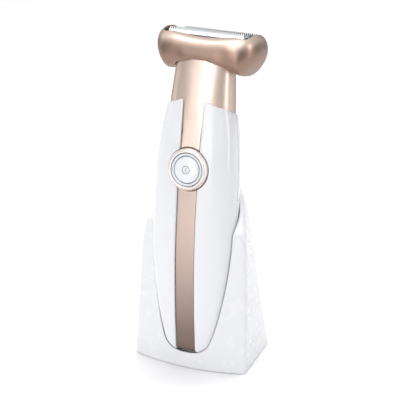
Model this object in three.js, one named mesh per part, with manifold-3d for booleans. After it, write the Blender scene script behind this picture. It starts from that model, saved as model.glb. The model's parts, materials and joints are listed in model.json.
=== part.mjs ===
// Wet-and-dry lady shaver with an interchangeable foil head, standing in its storage stand.
// Millimetres, +Z up. The stand rests on z = 0 with its back towards +Y, so the control side faces -Y.
// Every moving piece is a mesh of its own. The shaver is modelled upright in its own group,
// which leans back in the stand, and the head in a further group, tilted on the neck.
import * as THREE from "three";
import { mergeVertices } from "three/addons/utils/BufferGeometryUtils.js";
import Module from "manifold-3d";

const wasm = await Module();
wasm.setup();

// ---------------------------------------------------------------- driving dimensions

const SHAVER_LEAN = 7.5; // degrees, from vertical, towards the back of the stand
const SHAVER_FOOT = [0, -20.2, 7.75]; // where the foot of the shaver's axis stands
const HEAD_TILT = 5; // degrees, head against handle, the same way as the lean
const HEAD_ORIGIN = [0, 2.35, 150]; // centre of the neck's mouth, in the shaver's frame
const HEAD_HALF_LENGTH = 28.5;
const HEAD_POWER = 3.6; // squareness of the head's section at its middle
const HEAD_MID_Y = 4.2; // the cutting parts lie this far behind the neck's centre, in the head's frame

const GAP = 0.3; // between pieces that rest on one another
const WALL = 1.8; // moulded covers
const BODY_POWER = 3; // squareness of the handle's section; 2 is an ellipse
const NECK_POWER = 2.5;
const REAR_POWER = 2.4;
const BODY_SIDES = 20;

const STRIP_WIDTH = 10.4; // rose-gold inlay down the front
const STRIP_SUNK = 1.0; // its face lies this far under the cover's
const STRIP_THICK = 0.9;

const BUTTON_AT = 102; // height of the power button up the handle
const BUTTON_TILT = 4; // degrees, its face turned upwards
const BUTTON_RADIUS = 6.9;
const BUTTON_TRAVEL = 0.8;
const RING_RADIUS = 8.5; // clear light ring
const BEZEL_RADIUS = 11;
const BEZEL_PROUD = 3.0;

const COVER_TOP = 86; // the battery cover reaches up to here
const COVER_TRAVEL = 3;

const CELL_RADIUS = 7.25; // AA
const CELL_LENGTH = 50.5;
const CELL_FOOT = 34;
const CELL_PITCH = 14.9;

const MOTOR_FOOT = 112;
const MOTOR_LENGTH = 25;
const MOTOR_Y = 2;
const MOTOR_RADIUS = 10;
const MOTOR_FLAT = 7.6; // from the axis to the can's flat sides
const SHAFT_RADIUS = 1;
const SHAFT_LENGTH = 33;
const SHAFT_FOOT = 110.5;
const CAM_RADIUS = 3.6;
const ECCENTRIC_RADIUS = 1;
const THROW = 1.2; // eccentric, and so the cutter's stroke each way
const YOKE_FOOT = 144.6;
const DRIVE_PIN_Y = 6.6;
const PIN_RADIUS = 1.2;
const PIN_LENGTH = 17.2;
const SOCKET_LIFT = 6; // how far the head rises before its socket leaves the neck
const PIN_SEAT = 1.9; // depth of the pin's socket from the yoke's underside
const SEAL_LENGTH = 7.6; // gaiter round the drive pin
const RELEASE_AT = 145; // height of the head release button

// Screws that hold the chassis to the front cover: two heights, left and right.
const SCREW_LEVELS = [["lower", 96], ["upper", 108]];
const SCREW_X = 15.6;
const PILOT_RADIUS = 1.2;
const LUG_RADIUS = 2.6;

const NECK_FOOT = 121;
const NECK_MOUTH = 8.8; // height of the neck's top face in the head's frame, parallel to the head

const FOIL_LENGTH = 41.6;
const FOIL_RADIUS = 3.95; // rise of the foil's arch
const FOIL_SPREAD = 1.6; // its half width against its rise
const FOIL_SPRING_LINE = 17.3; // height of the foil arch's feet in the head
const COMB_TEETH = 20;
const TOOTH_DEPTH = 1.6;
const BLADE_LENGTH = 39.4; // the moving blades, short of the foil by their stroke
const BLADE_TEETH = 12;
const LAMELLAE = 9;
const CARRIER_FOOT = 15.3;
const CASSETTE_TOP = 18.7; // the ledge under the combs
const CASSETTE_HALF_DEPTH = 11.4;
const SHOULDER_TOP = 20.2;
const COMB_OUT = 10.1; // how far out a comb stands at its foot
const COMB_LEAN = 1.5; // and how far it leans in
const COMB_TIP = 21.9;
const SPRING_SEAT = 14.2;
const BASE_PLATE_LOW = 9.2;
const BASE_PLATE_TOP = 10.4;

const PAD_THICK = 1.2;
const PLATE_TOP = 3.9;
const FRONT_BOW = 5.7; // at the foot
const BOW_LOSS = 0.03; // for each millimetre up
const REAR_BOW = 2.4;
const FRONT_CORNER = 2.4;
const REAR_CORNER = 3.4;
const SHELL_FOOT = 0.25;
const STAND_TOP = 100.8;
const RIM_TILT = 0.4; // the rim rises inwards, towards the handle
const RIM_OUTSIDE = 29;
const STAND_WALL = 2.2;
const NEST_CLEARANCE = 0.45;

// Profiles up the handle, as [height, size] pairs joined by a smooth curve.
const halfWidth = smooth([[0, 4.5], [0.8, 7.4], [2, 9.5], [4, 11.6], [7, 13.3], [12, 14.9], [20, 16.8],
  [31, 18.9], [45, 20.9], [60, 22.2], [75, 22.5], [90, 22.4], [102, 22], [115, 21], [122, 20.2],
  [127, 19.3], [132, 18.3], [138, 17.2]]);
const frontDepth = smooth([[0, 3.4], [2, 5], [7, 6.4], [12, 7.2], [20, 8.8], [31, 10.4], [45, 12.3],
  [60, 13.6], [75, 14.3], [90, 14.6], [102, 14.4], [115, 13.6], [127, 12.4], [138, 11.6]]);
const rearDepth = smooth([[0, 3.4], [2, 5.2], [7, 6.8], [12, 7.8], [20, 9.2], [31, 10.8], [45, 12.2],
  [60, 12.8], [75, 13.4], [90, 13.8], [115, 14.2], [127, 14.4], [138, 14.6]]);
const BODY_STATIONS = [0, 1.5, 5, 12, 22, 36, 52, 70, 90, 110, 124, 131, 138];
const neckHalfWidth = smooth([[118, 17.6], [138, 16.8], [150, 15.7], [162, 14.8]]);
const neckFront = smooth([[118, 11.8], [138, 10.7], [150, 9], [157, 7.8], [164, 6.9]]);
const neckRear = smooth([[118, 12.4], [138, 13.4], [164, 15.6]]);
const NECK_STATIONS = [118, 138, 151, 164];

// The stand's plan at each height: half width at the front and rear corners, and the y of each edge.
const standFrontHalf = smooth([[0, 32.8], [25, 32.4], [50, 31.3], [74, 29.6], [88, 26.2],
  [98, 20.7], [104, 15.2]]);
const standRearHalf = smooth([[0, 28.8], [25, 27], [50, 25.2], [74, 23.5], [88, 21.2],
  [98, 17.2], [104, 12.7]]);
const standFrontY = smooth([[0, -19.9], [50, -16], [74, -14.2], [98, -12.1], [104, -11.5]]);
const standRearY = smooth([[0, 25.7], [25, 20.1], [50, 14.9], [74, 11.1], [88, 9.4], [98, 8.8], [104, 8.6]]);
const STAND_STATIONS = [SHELL_FOOT, 25, 50, 70, 82, 91, 97, STAND_TOP];
const standRim = smooth([[-30, 73.6], [-22, 73.6], [-15, 74.8], [-8, 80.4], [0, 87.5], [4, 92.5], [7, 97],
  [10, 100.5]]);

// The head's section along its length: [x, underside, top, depth behind its middle, depth in front].
const HEAD_SECTIONS = [[0, 2.4, 19.4, 14.6, 16], [8, 2.4, 19.9, 14.6, 15.9], [13, 2.3, 20.6, 14.8, 15.7],
  [17, 1.2, 21.5, 15.8, 15.7], [20, 0.2, 22.2, 16.6, 15.6], [23, 1.7, 22.3, 15.3, 14.3],
  [25.2, 4.4, 21.6, 13, 12.1], [27, 7.5, 19.7, 9.8, 9], [28.2, 10.6, 16.8, 5.5, 5],
  [28.55, 12.4, 15, 3, 2.6]];

// ---------------------------------------------------------------- shape helpers

// A cubic curve through [x, y] pairs, with each slope taken from its two neighbours.
function smooth(keys) {
  const slope = (i) => {
    const a = keys[Math.max(i - 1, 0)], b = keys[Math.min(i + 1, keys.length - 1)];
    return (b[1] - a[1]) / (b[0] - a[0]);
  };
  return (x) => {
    const last = keys.length - 1;
    if (x <= keys[0][0]) return keys[0][1];
    if (x >= keys[last][0]) return keys[last][1];
    let i = 0;
    while (x > keys[i + 1][0]) i++;
    const [x0, y0] = keys[i], [x1, y1] = keys[i + 1];
    const w = x1 - x0, t = (x - x0) / w, t2 = t * t, t3 = t2 * t;
    return (2 * t3 - 3 * t2 + 1) * y0 + (t3 - 2 * t2 + t) * w * slope(i)
      + (3 * t2 - 2 * t3) * y1 + (t3 - t2) * w * slope(i + 1);
  };
}

// A rounded-square outline about the axis, with its own depth and squareness at the front (-Y) and rear.
function oval(half, front, rear, frontPower, rearPower, sides) {
  return Array.from({ length: sides }, (_, i) => {
    const a = (2 * Math.PI * (i + 0.5)) / sides;
    const isFront = Math.sin(a) < 0;
    const bent = (v) => Math.sign(v) * Math.abs(v) ** (2 / (isFront ? frontPower : rearPower));
    return [half * bent(Math.cos(a)), (isFront ? front : rear) * bent(Math.sin(a))];
  });
}

// Joins rings of points, all of one length and anticlockwise about their direction of travel, into a
// closed body.
function loft(rings) {
  const points = rings.flat(), n = rings[0].length, faces = [];
  for (let r = 0; r + 1 < rings.length; r++) {
    for (let i = 0; i < n; i++) {
      const a = r * n + i, b = r * n + ((i + 1) % n);
      faces.push(a, b, b + n, a, b + n, a + n);
    }
  }
  const middle = (ring) => [0, 1, 2].map((k) => ring.reduce((s, p) => s + p[k], 0) / n);
  points.push(middle(rings[0]), middle(rings[rings.length - 1]));
  const low = points.length - 2, high = points.length - 1, top = (rings.length - 1) * n;
  for (let i = 0; i < n; i++) {
    faces.push(low, (i + 1) % n, i, high, top + i, top + ((i + 1) % n));
  }
  const geometry = new THREE.BufferGeometry();
  geometry.setAttribute("position", new THREE.Float32BufferAttribute(points.flat(), 3));
  geometry.setIndex(faces);
  return geometry;
}

function toSolid(geometry) {
  const bare = geometry.clone();
  bare.deleteAttribute("normal");
  bare.deleteAttribute("uv");
  const merged = mergeVertices(bare, 1e-4);
  return new wasm.Manifold(new wasm.Mesh({
    numProp: 3,
    vertProperties: merged.attributes.position.array,
    triVerts: new Uint32Array(merged.index.array),
  }));
}

function toGeometry(solid) {
  const { vertProperties, triVerts, numProp } = solid.getMesh();
  const xyz = new Float32Array((vertProperties.length / numProp) * 3);
  for (let i = 0; i * 3 < xyz.length; i++) {
    for (let k = 0; k < 3; k++) xyz[i * 3 + k] = vertProperties[i * numProp + k];
  }
  const geometry = new THREE.BufferGeometry();
  geometry.setAttribute("position", new THREE.BufferAttribute(xyz, 3));
  geometry.setIndex(Array.from(triVerts));
  return geometry.toNonIndexed();
}

const join = (...solids) => solids.reduce((a, b) => a.add(b));
const cut = (solid, ...tools) => tools.reduce((a, b) => a.subtract(b), solid);

// A box between two corners.
function block(low, high) {
  const size = high.map((v, k) => v - low[k]);
  const box = new THREE.BoxGeometry(...size);
  return toSolid(box.translate(...low.map((v, k) => v + size[k] / 2)));
}

// An upright cylinder standing on the point given.
function post(x, y, z, radius, height, sides = 24) {
  const cylinder = new THREE.CylinderGeometry(radius, radius, height, sides);
  return toSolid(cylinder.rotateX(Math.PI / 2).translate(x, y, z + height / 2));
}

// A [radius, height] profile turned about Z. It starts and ends on the axis, or closes on itself.
function turned(profile, sides = 24) {
  const points = profile.map(([r, z]) => new THREE.Vector2(r, z));
  return toSolid(new THREE.LatheGeometry(points, sides).rotateX(Math.PI / 2));
}

// A rounded rectangle in plan, between two heights.
function slab(x, y, width, depth, radius, low, high) {
  const w = width / 2, d = depth / 2, shape = new THREE.Shape();
  shape.moveTo(w, -d + radius);
  shape.lineTo(w, d - radius).absarc(w - radius, d - radius, radius, 0, Math.PI / 2);
  shape.lineTo(-w + radius, d).absarc(-w + radius, d - radius, radius, Math.PI / 2, Math.PI);
  shape.lineTo(-w, -d + radius).absarc(-w + radius, -d + radius, radius, Math.PI, 1.5 * Math.PI);
  shape.lineTo(w - radius, -d).absarc(w - radius, -d + radius, radius, 1.5 * Math.PI, 2 * Math.PI);
  const options = { depth: high - low, bevelEnabled: false, curveSegments: 3 };
  return toSolid(new THREE.ExtrudeGeometry(shape, options).translate(x, y, low));
}

// A [y, z] outline, run along X from one end to the other.
function bar(outline, x0, x1) {
  const shape = new THREE.Shape(outline.map(([y, z]) => new THREE.Vector2(y, z)));
  const solid = new THREE.ExtrudeGeometry(shape, { depth: x1 - x0, bevelEnabled: false });
  const turn = new THREE.Matrix4().set(0, 0, 1, x0, 1, 0, 0, 0, 0, 1, 0, 0, 0, 0, 0, 1);
  return toSolid(solid.applyMatrix4(turn));
}

// A coil spring round Z, from one height to another.
function coil(x, y, low, high, radius, wire, turns) {
  class Helix extends THREE.Curve {
    getPoint(t, target = new THREE.Vector3()) {
      const a = 2 * Math.PI * turns * t, rise = high - low - 2 * wire;
      return target.set(x + radius * Math.cos(a), y + radius * Math.sin(a), low + wire + rise * t);
    }
  }
  const round = new THREE.Shape().absarc(0, 0, wire, 0, 2 * Math.PI);
  const steps = Math.round(turns * 9);
  const options = { steps, curveSegments: 2, bevelEnabled: false, extrudePath: new Helix() };
  return toSolid(new THREE.ExtrudeGeometry(round, options));
}

function place(solid, matrix) {
  return toSolid(toGeometry(solid).applyMatrix4(matrix));
}

// ---------------------------------------------------------------- materials and groups

const finish = (color, roughness, metalness = 0) =>
  new THREE.MeshStandardMaterial({ color, roughness, metalness });
const FINISH = {
  white: finish(0xf2f2f5, 0.25),
  rose: finish(0xe0bfae, 0.32, 0.55),
  clear: finish(0xdfeaf5, 0.1),
  button: finish(0xf6f8fb, 0.2),
  steel: finish(0xc9ccd0, 0.25, 1),
  darkSteel: finish(0x6b6d70, 0.35, 1),
  rubber: finish(0x3a3b3d, 0.85),
  silicone: finish(0xd8dade, 0.7),
  frame: finish(0x9a9ca0, 0.6),
  board: finish(0x2f6b46, 0.5),
  brass: finish(0xc8a96a, 0.3, 1),
  cell: finish(0x4a5a66, 0.4),
  copper: finish(0xb0683c, 0.35, 1),
};

const SIDES = [["left", -1], ["right", 1]];

const product = new THREE.Group();
const shaver = new THREE.Group();
shaver.position.set(...SHAVER_FOOT);
shaver.rotation.x = THREE.MathUtils.degToRad(-SHAVER_LEAN);
const head = new THREE.Group();
head.position.set(...HEAD_ORIGIN);
head.rotation.x = THREE.MathUtils.degToRad(-HEAD_TILT);
shaver.add(head);
product.add(shaver);
product.updateMatrixWorld(true);
const shaverToHead = head.matrix.clone().invert();

function add(group, name, solid, material) {
  const mesh = new THREE.Mesh(toGeometry(solid), material);
  mesh.name = name;
  group.add(mesh);
}

// ---------------------------------------------------------------- handle: outer form

// The handle's outer form, grown by an offset, between two heights.
function bodyForm(offset, low, high) {
  const stations = [low, ...BODY_STATIONS.filter((t) => t > low + 0.2 && t < high - 0.2), high];
  return toSolid(loft(stations.map((t) => oval(halfWidth(t) + offset, frontDepth(t) + offset,
    rearDepth(t) + offset, BODY_POWER, REAR_POWER, BODY_SIDES).map(([x, y]) => [x, y, t]))));
}

function neckForm(offset, low, high) {
  const stations = [low, ...NECK_STATIONS.filter((t) => t > low + 0.2 && t < high - 0.2), high];
  return toSolid(loft(stations.map((t) => oval(neckHalfWidth(t) + offset, neckFront(t) + offset,
    neckRear(t) + offset, NECK_POWER, NECK_POWER, BODY_SIDES).map(([x, y]) => [x, y, t]))));
}

// What lies above the covers' top edge, which falls from the middle of the front to the sides and back.
function aboveCollar() {
  const edge = (x, y) => 135.5 - 0.39 * y - (3.6 * Math.min(Math.abs(x), 13)) / 13;
  return toSolid(loft([-40, -13, 0, 13, 40].map((x) =>
    [[x, -30, edge(x, -30)], [x, 30, edge(x, 30)], [x, 30, 175], [x, -30, 175]])));
}

const FAR = 60;
const frontSide = block([-FAR, -FAR, -5], [FAR, -GAP / 2, 180]);
const rearSide = block([-FAR, GAP / 2, -5], [FAR, FAR, 180]);

// The power control's frame: Z points out of the handle's front, X to the right.
const controlDepth = frontDepth(BUTTON_AT) - STRIP_SUNK;
const controlMatrix = new THREE.Matrix4()
  .makeTranslation(0, -controlDepth, BUTTON_AT)
  .multiply(new THREE.Matrix4().makeRotationX(THREE.MathUtils.degToRad(90 - BUTTON_TILT)));
const atControl = (solid) => place(solid, controlMatrix);

const interior = bodyForm(-WALL, 1.6, 125.5);
const neckClearance = neckForm(GAP, 120, 162);
const bezelHole = atControl(post(0, 0, -7, BEZEL_RADIUS + GAP, 14, 32));
const shellForm = cut(bodyForm(0, 0, 138), interior, neckClearance, aboveCollar());

// A cylinder along Y on a chassis screw's axis, centred at the y given.
function rod(side, t, y, radius, length, sides) {
  return toSolid(new THREE.CylinderGeometry(radius, radius, length, sides).translate(side * SCREW_X, y, t));
}

const atScrews = (make) => [-1, 1].flatMap((side) => SCREW_LEVELS.map(([, t]) => make(side, t)));

function frontCover() {
  const channel = cut(bodyForm(2, -3, 140), bodyForm(-STRIP_SUNK - STRIP_THICK - 0.2, -3, 140))
    .intersect(block([-STRIP_WIDTH / 2 - 0.25, -FAR, -5], [STRIP_WIDTH / 2 + 0.25, 0, 140]));
  const backing = cut(bodyForm(-0.2, 1, 119), bodyForm(-3.4, 1, 119))
    .intersect(block([-7, -FAR, 1.2], [7, -2, 119]));
  const bosses = atScrews((side, t) => rod(side, t, -6.6, LUG_RADIUS, 12, 10));
  const pilots = atScrews((side, t) => rod(side, t, -4, PILOT_RADIUS, 9, 8));
  const inside = join(...bosses).intersect(bodyForm(-0.5, 2, 124));
  const cover = join(shellForm.intersect(frontSide), backing, inside);
  return cut(cover, channel, bezelHole, ...pilots);
}

add(shaver, "front_cover", frontCover(), FINISH.white);
const rearAll = shellForm.intersect(rearSide);
const upper = block([-FAR, -FAR, COVER_TOP + GAP], [FAR, FAR, 180]);
const lower = block([-FAR, -FAR, -5], [FAR, FAR, COVER_TOP]);
add(shaver, "rear_cover", rearAll.intersect(upper), FINISH.white);

function batteryCover() {
  // A shallow thumb recess with three grip ridges.
  const ridges = [0, 1, 2].map((i) => block([-7, 11, 70 + i * 3.2], [7, 30, 71 + i * 3.2]));
  const recess = cut(bodyForm(1, 60, 84), bodyForm(-0.7, 60, 84)).intersect(block([-8, 2, 68], [8, 30, 79]));
  return cut(rearAll.intersect(lower), cut(recess, ...ridges));
}
add(shaver, "battery_cover", batteryCover(), FINISH.white);

// ---------------------------------------------------------------- neck, strips and seals

function neckHousing() {
  const tube = cut(neckForm(0, NECK_FOOT, 164).intersect(belowMouth(0)),
    neckForm(-1.6, NECK_FOOT - 1, 164).intersect(belowMouth(1.6)));
  const strip = cut(bodyForm(-STRIP_SUNK, 0.8, 137), bodyForm(-STRIP_SUNK - STRIP_THICK, 0.5, 138))
    .intersect(block([-STRIP_WIDTH / 2, -FAR, BUTTON_AT], [STRIP_WIDTH / 2, -2, 134.5]));
  const pinSlot = slab(0, DRIVE_PIN_Y, SEAL_LENGTH + 2 * GAP, 6, 2.9, 150, 165);
  return cut(join(tube, strip), bezelHole, pinSlot, releasePlate(GAP));
}

// What lies under the neck's top face, and lower by the depth given.
function belowMouth(depth) {
  return place(block([-40, -40, -60], [40, 40, NECK_MOUTH - depth]), head.matrix);
}

// The head's release button, a rounded plate in the neck's rear wall.
function releasePlate(grow) {
  const plate = slab(0, 0, 12 + 2 * grow, 8 + 2 * grow, 2 + grow, 11.2, 20);
  const toRear = new THREE.Matrix4().makeTranslation(0, 0, RELEASE_AT)
    .multiply(new THREE.Matrix4().makeRotationX(-Math.PI / 2));
  return place(plate, toRear);
}

add(shaver, "neck_housing", neckHousing(), FINISH.rose);
const lowerStrip = cut(bodyForm(-STRIP_SUNK, 1.4, 100), bodyForm(-STRIP_SUNK - STRIP_THICK, 1.2, 101))
  .intersect(block([-STRIP_WIDTH / 2, -FAR, 1], [STRIP_WIDTH / 2, -2, 100]));
add(shaver, "lower_strip", cut(lowerStrip, bezelHole), FINISH.rose);
add(shaver, "release_button", releasePlate(0).intersect(neckForm(0.8, 132, 156)), FINISH.rose);

// Rubber gaiter in the slot where the drive pin leaves the neck.
const gaiter = cut(slab(0, DRIVE_PIN_Y, SEAL_LENGTH, 5.4, 2.6, 157.3, 158.5),
  slab(0, DRIVE_PIN_Y, 2 * (PIN_RADIUS + THROW + GAP), 3.2, 1.5, 155, 160));
add(shaver, "drive_seal", gaiter, FINISH.rubber);

// ---------------------------------------------------------------- power control

const ringTop = BEZEL_PROUD - 0.4;
const bezel = turned([[RING_RADIUS + GAP, -4], [BEZEL_RADIUS, -4], [BEZEL_RADIUS, 0.6],
  [BEZEL_RADIUS - 0.5, 1.7], [BEZEL_RADIUS - 1.2, 2.6], [RING_RADIUS + GAP, BEZEL_PROUD],
  [RING_RADIUS + GAP, -4]], 28);
add(shaver, "button_bezel", atControl(bezel), FINISH.rose);
const lightRing = turned([[BUTTON_RADIUS + GAP, -4], [RING_RADIUS, -4], [RING_RADIUS, ringTop],
  [BUTTON_RADIUS + 1.2, ringTop + 0.2], [BUTTON_RADIUS + GAP, ringTop - 0.3], [BUTTON_RADIUS + GAP, -4]], 28);
add(shaver, "light_ring", atControl(lightRing), FINISH.clear);
const buttonCap = turned([[0, -1.2], [BUTTON_RADIUS, -1.2], [BUTTON_RADIUS, ringTop - 0.2],
  [BUTTON_RADIUS - 0.6, ringTop + 0.3], [4.5, ringTop + 0.65], [0, ringTop + 0.8]], 28);
const buttonStem = post(0, 0, -2.2, 1.6, 1.4, 16);
add(shaver, "power_button", atControl(join(buttonCap, buttonStem)), FINISH.button);
const buttonSeal = post(0, 0, -3.9, BUTTON_RADIUS - 0.2, 0.6, 32);
add(shaver, "button_seal", atControl(buttonSeal), FINISH.silicone);

// ---------------------------------------------------------------- electronics

const BOARD_Y = -6; // rear face of the circuit board
const board = cut(block([-11, BOARD_Y - 1.6, 86], [11, BOARD_Y, 112]),
  ...[-1, 1].map((s) => block([s * 11 - 1.2, -10, 94], [s * 11 + 1.2, 0, 98])));
add(shaver, "circuit_board", board, FINISH.board);
const switchBody = block([-3, -8.9, BUTTON_AT - 3], [3, BOARD_Y - 1.6 - 0.1, BUTTON_AT + 3]);
add(shaver, "tact_switch", switchBody, FINISH.darkSteel);
for (const [where, side] of SIDES) {
  const led = block([side * 7 - 1, -8.8, BUTTON_AT - 0.8], [side * 7 + 1, BOARD_Y - 1.7, BUTTON_AT + 0.8]);
  add(shaver, `indicator_led_${where}`, led, FINISH.clear);
}

// ---------------------------------------------------------------- chassis, cells and contacts

function chassis() {
  const section = (offset, low, high) => bodyForm(-WALL - offset, low, high);
  const footPlate = section(0.5, 28.6, 30.8).intersect(block([-30, -6, 28], [30, 30, 32]));
  const midPlate = section(0.5, 88.6, 90.6).intersect(block([-30, -5.6, 88], [30, 30, 91]));
  const rails = [-1, 1].map((s) => block([s > 0 ? 15.1 : -16.1, -2.2, 30], [s > 0 ? 16.1 : -15.1, 2.2, 89]));
  const web = block([-0.8, 3.8, 30], [0.8, 7.6, 89]).intersect(bodyForm(-WALL - 0.5, 28, 90));
  const motorSeat = slab(0, MOTOR_Y, 25, 14.8, 4, MOTOR_FOOT - 4.2, MOTOR_FOOT - 0.3);
  const pillars = [-1, 1].map((s) =>
    block([s > 0 ? 10.5 : -12.6, -3, 90], [s > 0 ? 12.6 : -10.5, 7, MOTOR_FOOT - 2]));
  const lugs = atScrews((side, t) => rod(side, t, 0.5, LUG_RADIUS, 1.6, 10));
  const lugArms = atScrews((side, t) =>
    block([side > 0 ? 12 : -SCREW_X, -0.3, t - 1.6], [side > 0 ? SCREW_X : -12, 1.3, t + 1.6]));
  const lugHoles = atScrews((side, t) => rod(side, t, 0.5, PILOT_RADIUS + 0.05, 6, 8));
  const shaftHole = post(0, MOTOR_Y, MOTOR_FOOT - 6, 4, 8, 20);
  const frame = join(footPlate, midPlate, ...rails, web, motorSeat, ...pillars, ...lugs, ...lugArms);
  return cut(frame, ...lugHoles, shaftHole);
}
add(shaver, "chassis", chassis(), FINISH.frame);

for (const [where, side] of SIDES) {
  for (const [level, t] of SCREW_LEVELS) {
    const shank = rod(side, t, -2.6, 0.85, 9, 8);
    const screwHead = rod(side, t, 2.3, 2.1, 1.3, 12);
    add(shaver, `chassis_screw_${level}_${where}`, join(shank, screwHead), FINISH.steel);
  }
}

function cell(nubUp) {
  const bare = CELL_LENGTH - 1.3;
  const profile = [[0, 0], [CELL_RADIUS, 0], [CELL_RADIUS, bare], [2.75, bare], [2.75, CELL_LENGTH],
    [0, CELL_LENGTH]];
  const solid = turned(profile, 20);
  const flip = new THREE.Matrix4().makeRotationX(nubUp ? 0 : Math.PI);
  const lift = new THREE.Matrix4().makeTranslation((nubUp ? -1 : 1) * CELL_PITCH / 2, 0,
    CELL_FOOT + (nubUp ? 0 : CELL_LENGTH));
  return place(solid, lift.multiply(flip));
}
add(shaver, "battery_left", cell(true), FINISH.cell);
add(shaver, "battery_right", cell(false), FINISH.cell);
const cellX = CELL_PITCH / 2, cellTop = CELL_FOOT + CELL_LENGTH;
add(shaver, "contact_bridge", block([-12, -3, 31.1], [12, 3, 31.5]), FINISH.brass);
add(shaver, "contact_spring_lower", coil(-cellX, 0, 31.7, CELL_FOOT - 0.2, 3, 0.35, 2), FINISH.brass);
add(shaver, "contact_spring_upper", coil(cellX, 0, cellTop + 0.2, 88, 3, 0.35, 3), FINISH.brass);
for (const [where, side] of SIDES) {
  const plate = block([side > 0 ? 3 : -12, -3, 88.1], [side > 0 ? 12 : -3, 3, 88.35]);
  add(shaver, `contact_plate_${where}`, plate, FINISH.brass);
}

// ---------------------------------------------------------------- motor and drive

// A round can with two flats, grown by an offset, between two heights.
function motorCan(offset, low, high) {
  const flat = MOTOR_FLAT + offset;
  return post(0, MOTOR_Y, low, MOTOR_RADIUS + offset, high - low, 32)
    .intersect(block([-20, MOTOR_Y - flat, low - 1], [20, MOTOR_Y + flat, high + 1]));
}
const motorTop = MOTOR_FOOT + MOTOR_LENGTH;
const shaftBush = post(0, MOTOR_Y, MOTOR_FOOT - 1, SHAFT_RADIUS + GAP, MOTOR_LENGTH + 5, 16);
const canInside = motorCan(-0.8, MOTOR_FOOT, motorTop - 1.2);
const can = cut(motorCan(0, MOTOR_FOOT + 3.2, motorTop), canInside, shaftBush);
add(shaver, "motor_can", can, FINISH.steel);
const endCap = cut(motorCan(0, MOTOR_FOOT, MOTOR_FOOT + 2.9), shaftBush);
add(shaver, "motor_end_cap", endCap, FINISH.frame);
const boreLength = SHAFT_FOOT + SHAFT_LENGTH + GAP - MOTOR_FOOT;
const shaftBore = post(0, MOTOR_Y, MOTOR_FOOT, SHAFT_RADIUS + 0.1, boreLength, 16);
const armature = cut(post(0, MOTOR_Y, MOTOR_FOOT + 6, 5.8, 14, 30), shaftBore,
  ...[0, 1, 2].map((i) => {
    const slot = new THREE.BoxGeometry(1.2, 3.4, 16).translate(0, 4.6, 0).rotateZ((i * 2 * Math.PI) / 3);
    return toSolid(slot.translate(0, MOTOR_Y, MOTOR_FOOT + 13));
  }));
add(shaver, "motor_armature", armature, FINISH.copper);
add(shaver, "motor_shaft", post(0, MOTOR_Y, SHAFT_FOOT, SHAFT_RADIUS, SHAFT_LENGTH, 16), FINISH.steel);
const hub = post(0, MOTOR_Y, motorTop + 2.4, CAM_RADIUS, 3.6, 28);
const disc = post(0, MOTOR_Y, motorTop + 6, CAM_RADIUS, 0.9, 28);
const eccentric = post(THROW, MOTOR_Y, motorTop + 6.6, ECCENTRIC_RADIUS, 2.6, 16);
add(shaver, "eccentric_cam", cut(join(hub, disc, eccentric), shaftBore), FINISH.frame);

// The eccentric turns in the yoke's slot, which leaves it free fore and aft and so moves it sideways only.
function yoke() {
  const plate = slab(0, 3.6, 17, 11.4, 2, YOKE_FOOT, YOKE_FOOT + 2.8);
  const slotWidth = 2 * (ECCENTRIC_RADIUS + 2 * THROW + GAP);
  const slotDepth = 2 * (ECCENTRIC_RADIUS + THROW + GAP);
  const slot = slab(0, MOTOR_Y, slotWidth, slotDepth, 2.3, YOKE_FOOT - 1, YOKE_FOOT + PIN_SEAT);
  return cut(plate, slot, post(0, DRIVE_PIN_Y, YOKE_FOOT + PIN_SEAT, PIN_RADIUS + 0.15, 3, 16));
}
add(shaver, "drive_yoke", yoke(), FINISH.frame);
const drivePin = post(0, DRIVE_PIN_Y, YOKE_FOOT + PIN_SEAT + 0.15, PIN_RADIUS, PIN_LENGTH, 20);
add(shaver, "drive_pin", drivePin, FINISH.steel);

// ---------------------------------------------------------------- head

// The head's outer form, shrunk by an offset: a rounded section carried along X, with a lobe at each end.
function headForm(offset) {
  const thick = ([, low, high, , front]) => high - low > 2 * offset + 1.5 && front > offset + 1;
  const half = HEAD_SECTIONS.filter(thick).map(([x, low, high, depth, front]) =>
    [x * (1 - offset / HEAD_HALF_LENGTH), low + offset, high - offset, depth - offset, front - offset]);
  const ends = half.slice(1).reverse().map(([x, ...rest]) => [-x, ...rest]);
  return toSolid(loft([...ends, ...half].map(([x, low, high, depth, front]) => {
    const middle = (low + high) / 2, rise = (high - low) / 2;
    const power = HEAD_POWER - (HEAD_POWER - 2.2) * (Math.abs(x) / HEAD_HALF_LENGTH) ** 2;
    return oval(depth, rise, rise, power, power, 18).map(([y, z]) =>
      [x, HEAD_MID_Y + (y < 0 ? y * (front / depth) : y), middle + z]);
  })));
}

// The neck deepens towards the rear as it rises, so the socket also clears it for the first part of the lift.
const neckRisen = neckForm(0.1, 130, 164).translate(0, 0, -SOCKET_LIFT);
const neckInHead = place(join(neckForm(0.4, 130, 164), neckRisen), shaverToHead);
const mouth = slab(0, HEAD_MID_Y, 48, 2 * (CASSETTE_HALF_DEPTH + 0.4), 4.2, 11.2, 30);
const headFrame = cut(headForm(0), headForm(WALL), neckInHead, mouth);
add(head, "head_frame", headFrame, FINISH.rose);

const headBase = cut(slab(0, HEAD_MID_Y, 46, 23, 6, BASE_PLATE_LOW, BASE_PLATE_TOP),
  slab(0, HEAD_MID_Y, 11, 7, 2.4, 5, 15)).intersect(headForm(WALL + GAP));
add(head, "head_base", headBase, FINISH.frame);

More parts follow.
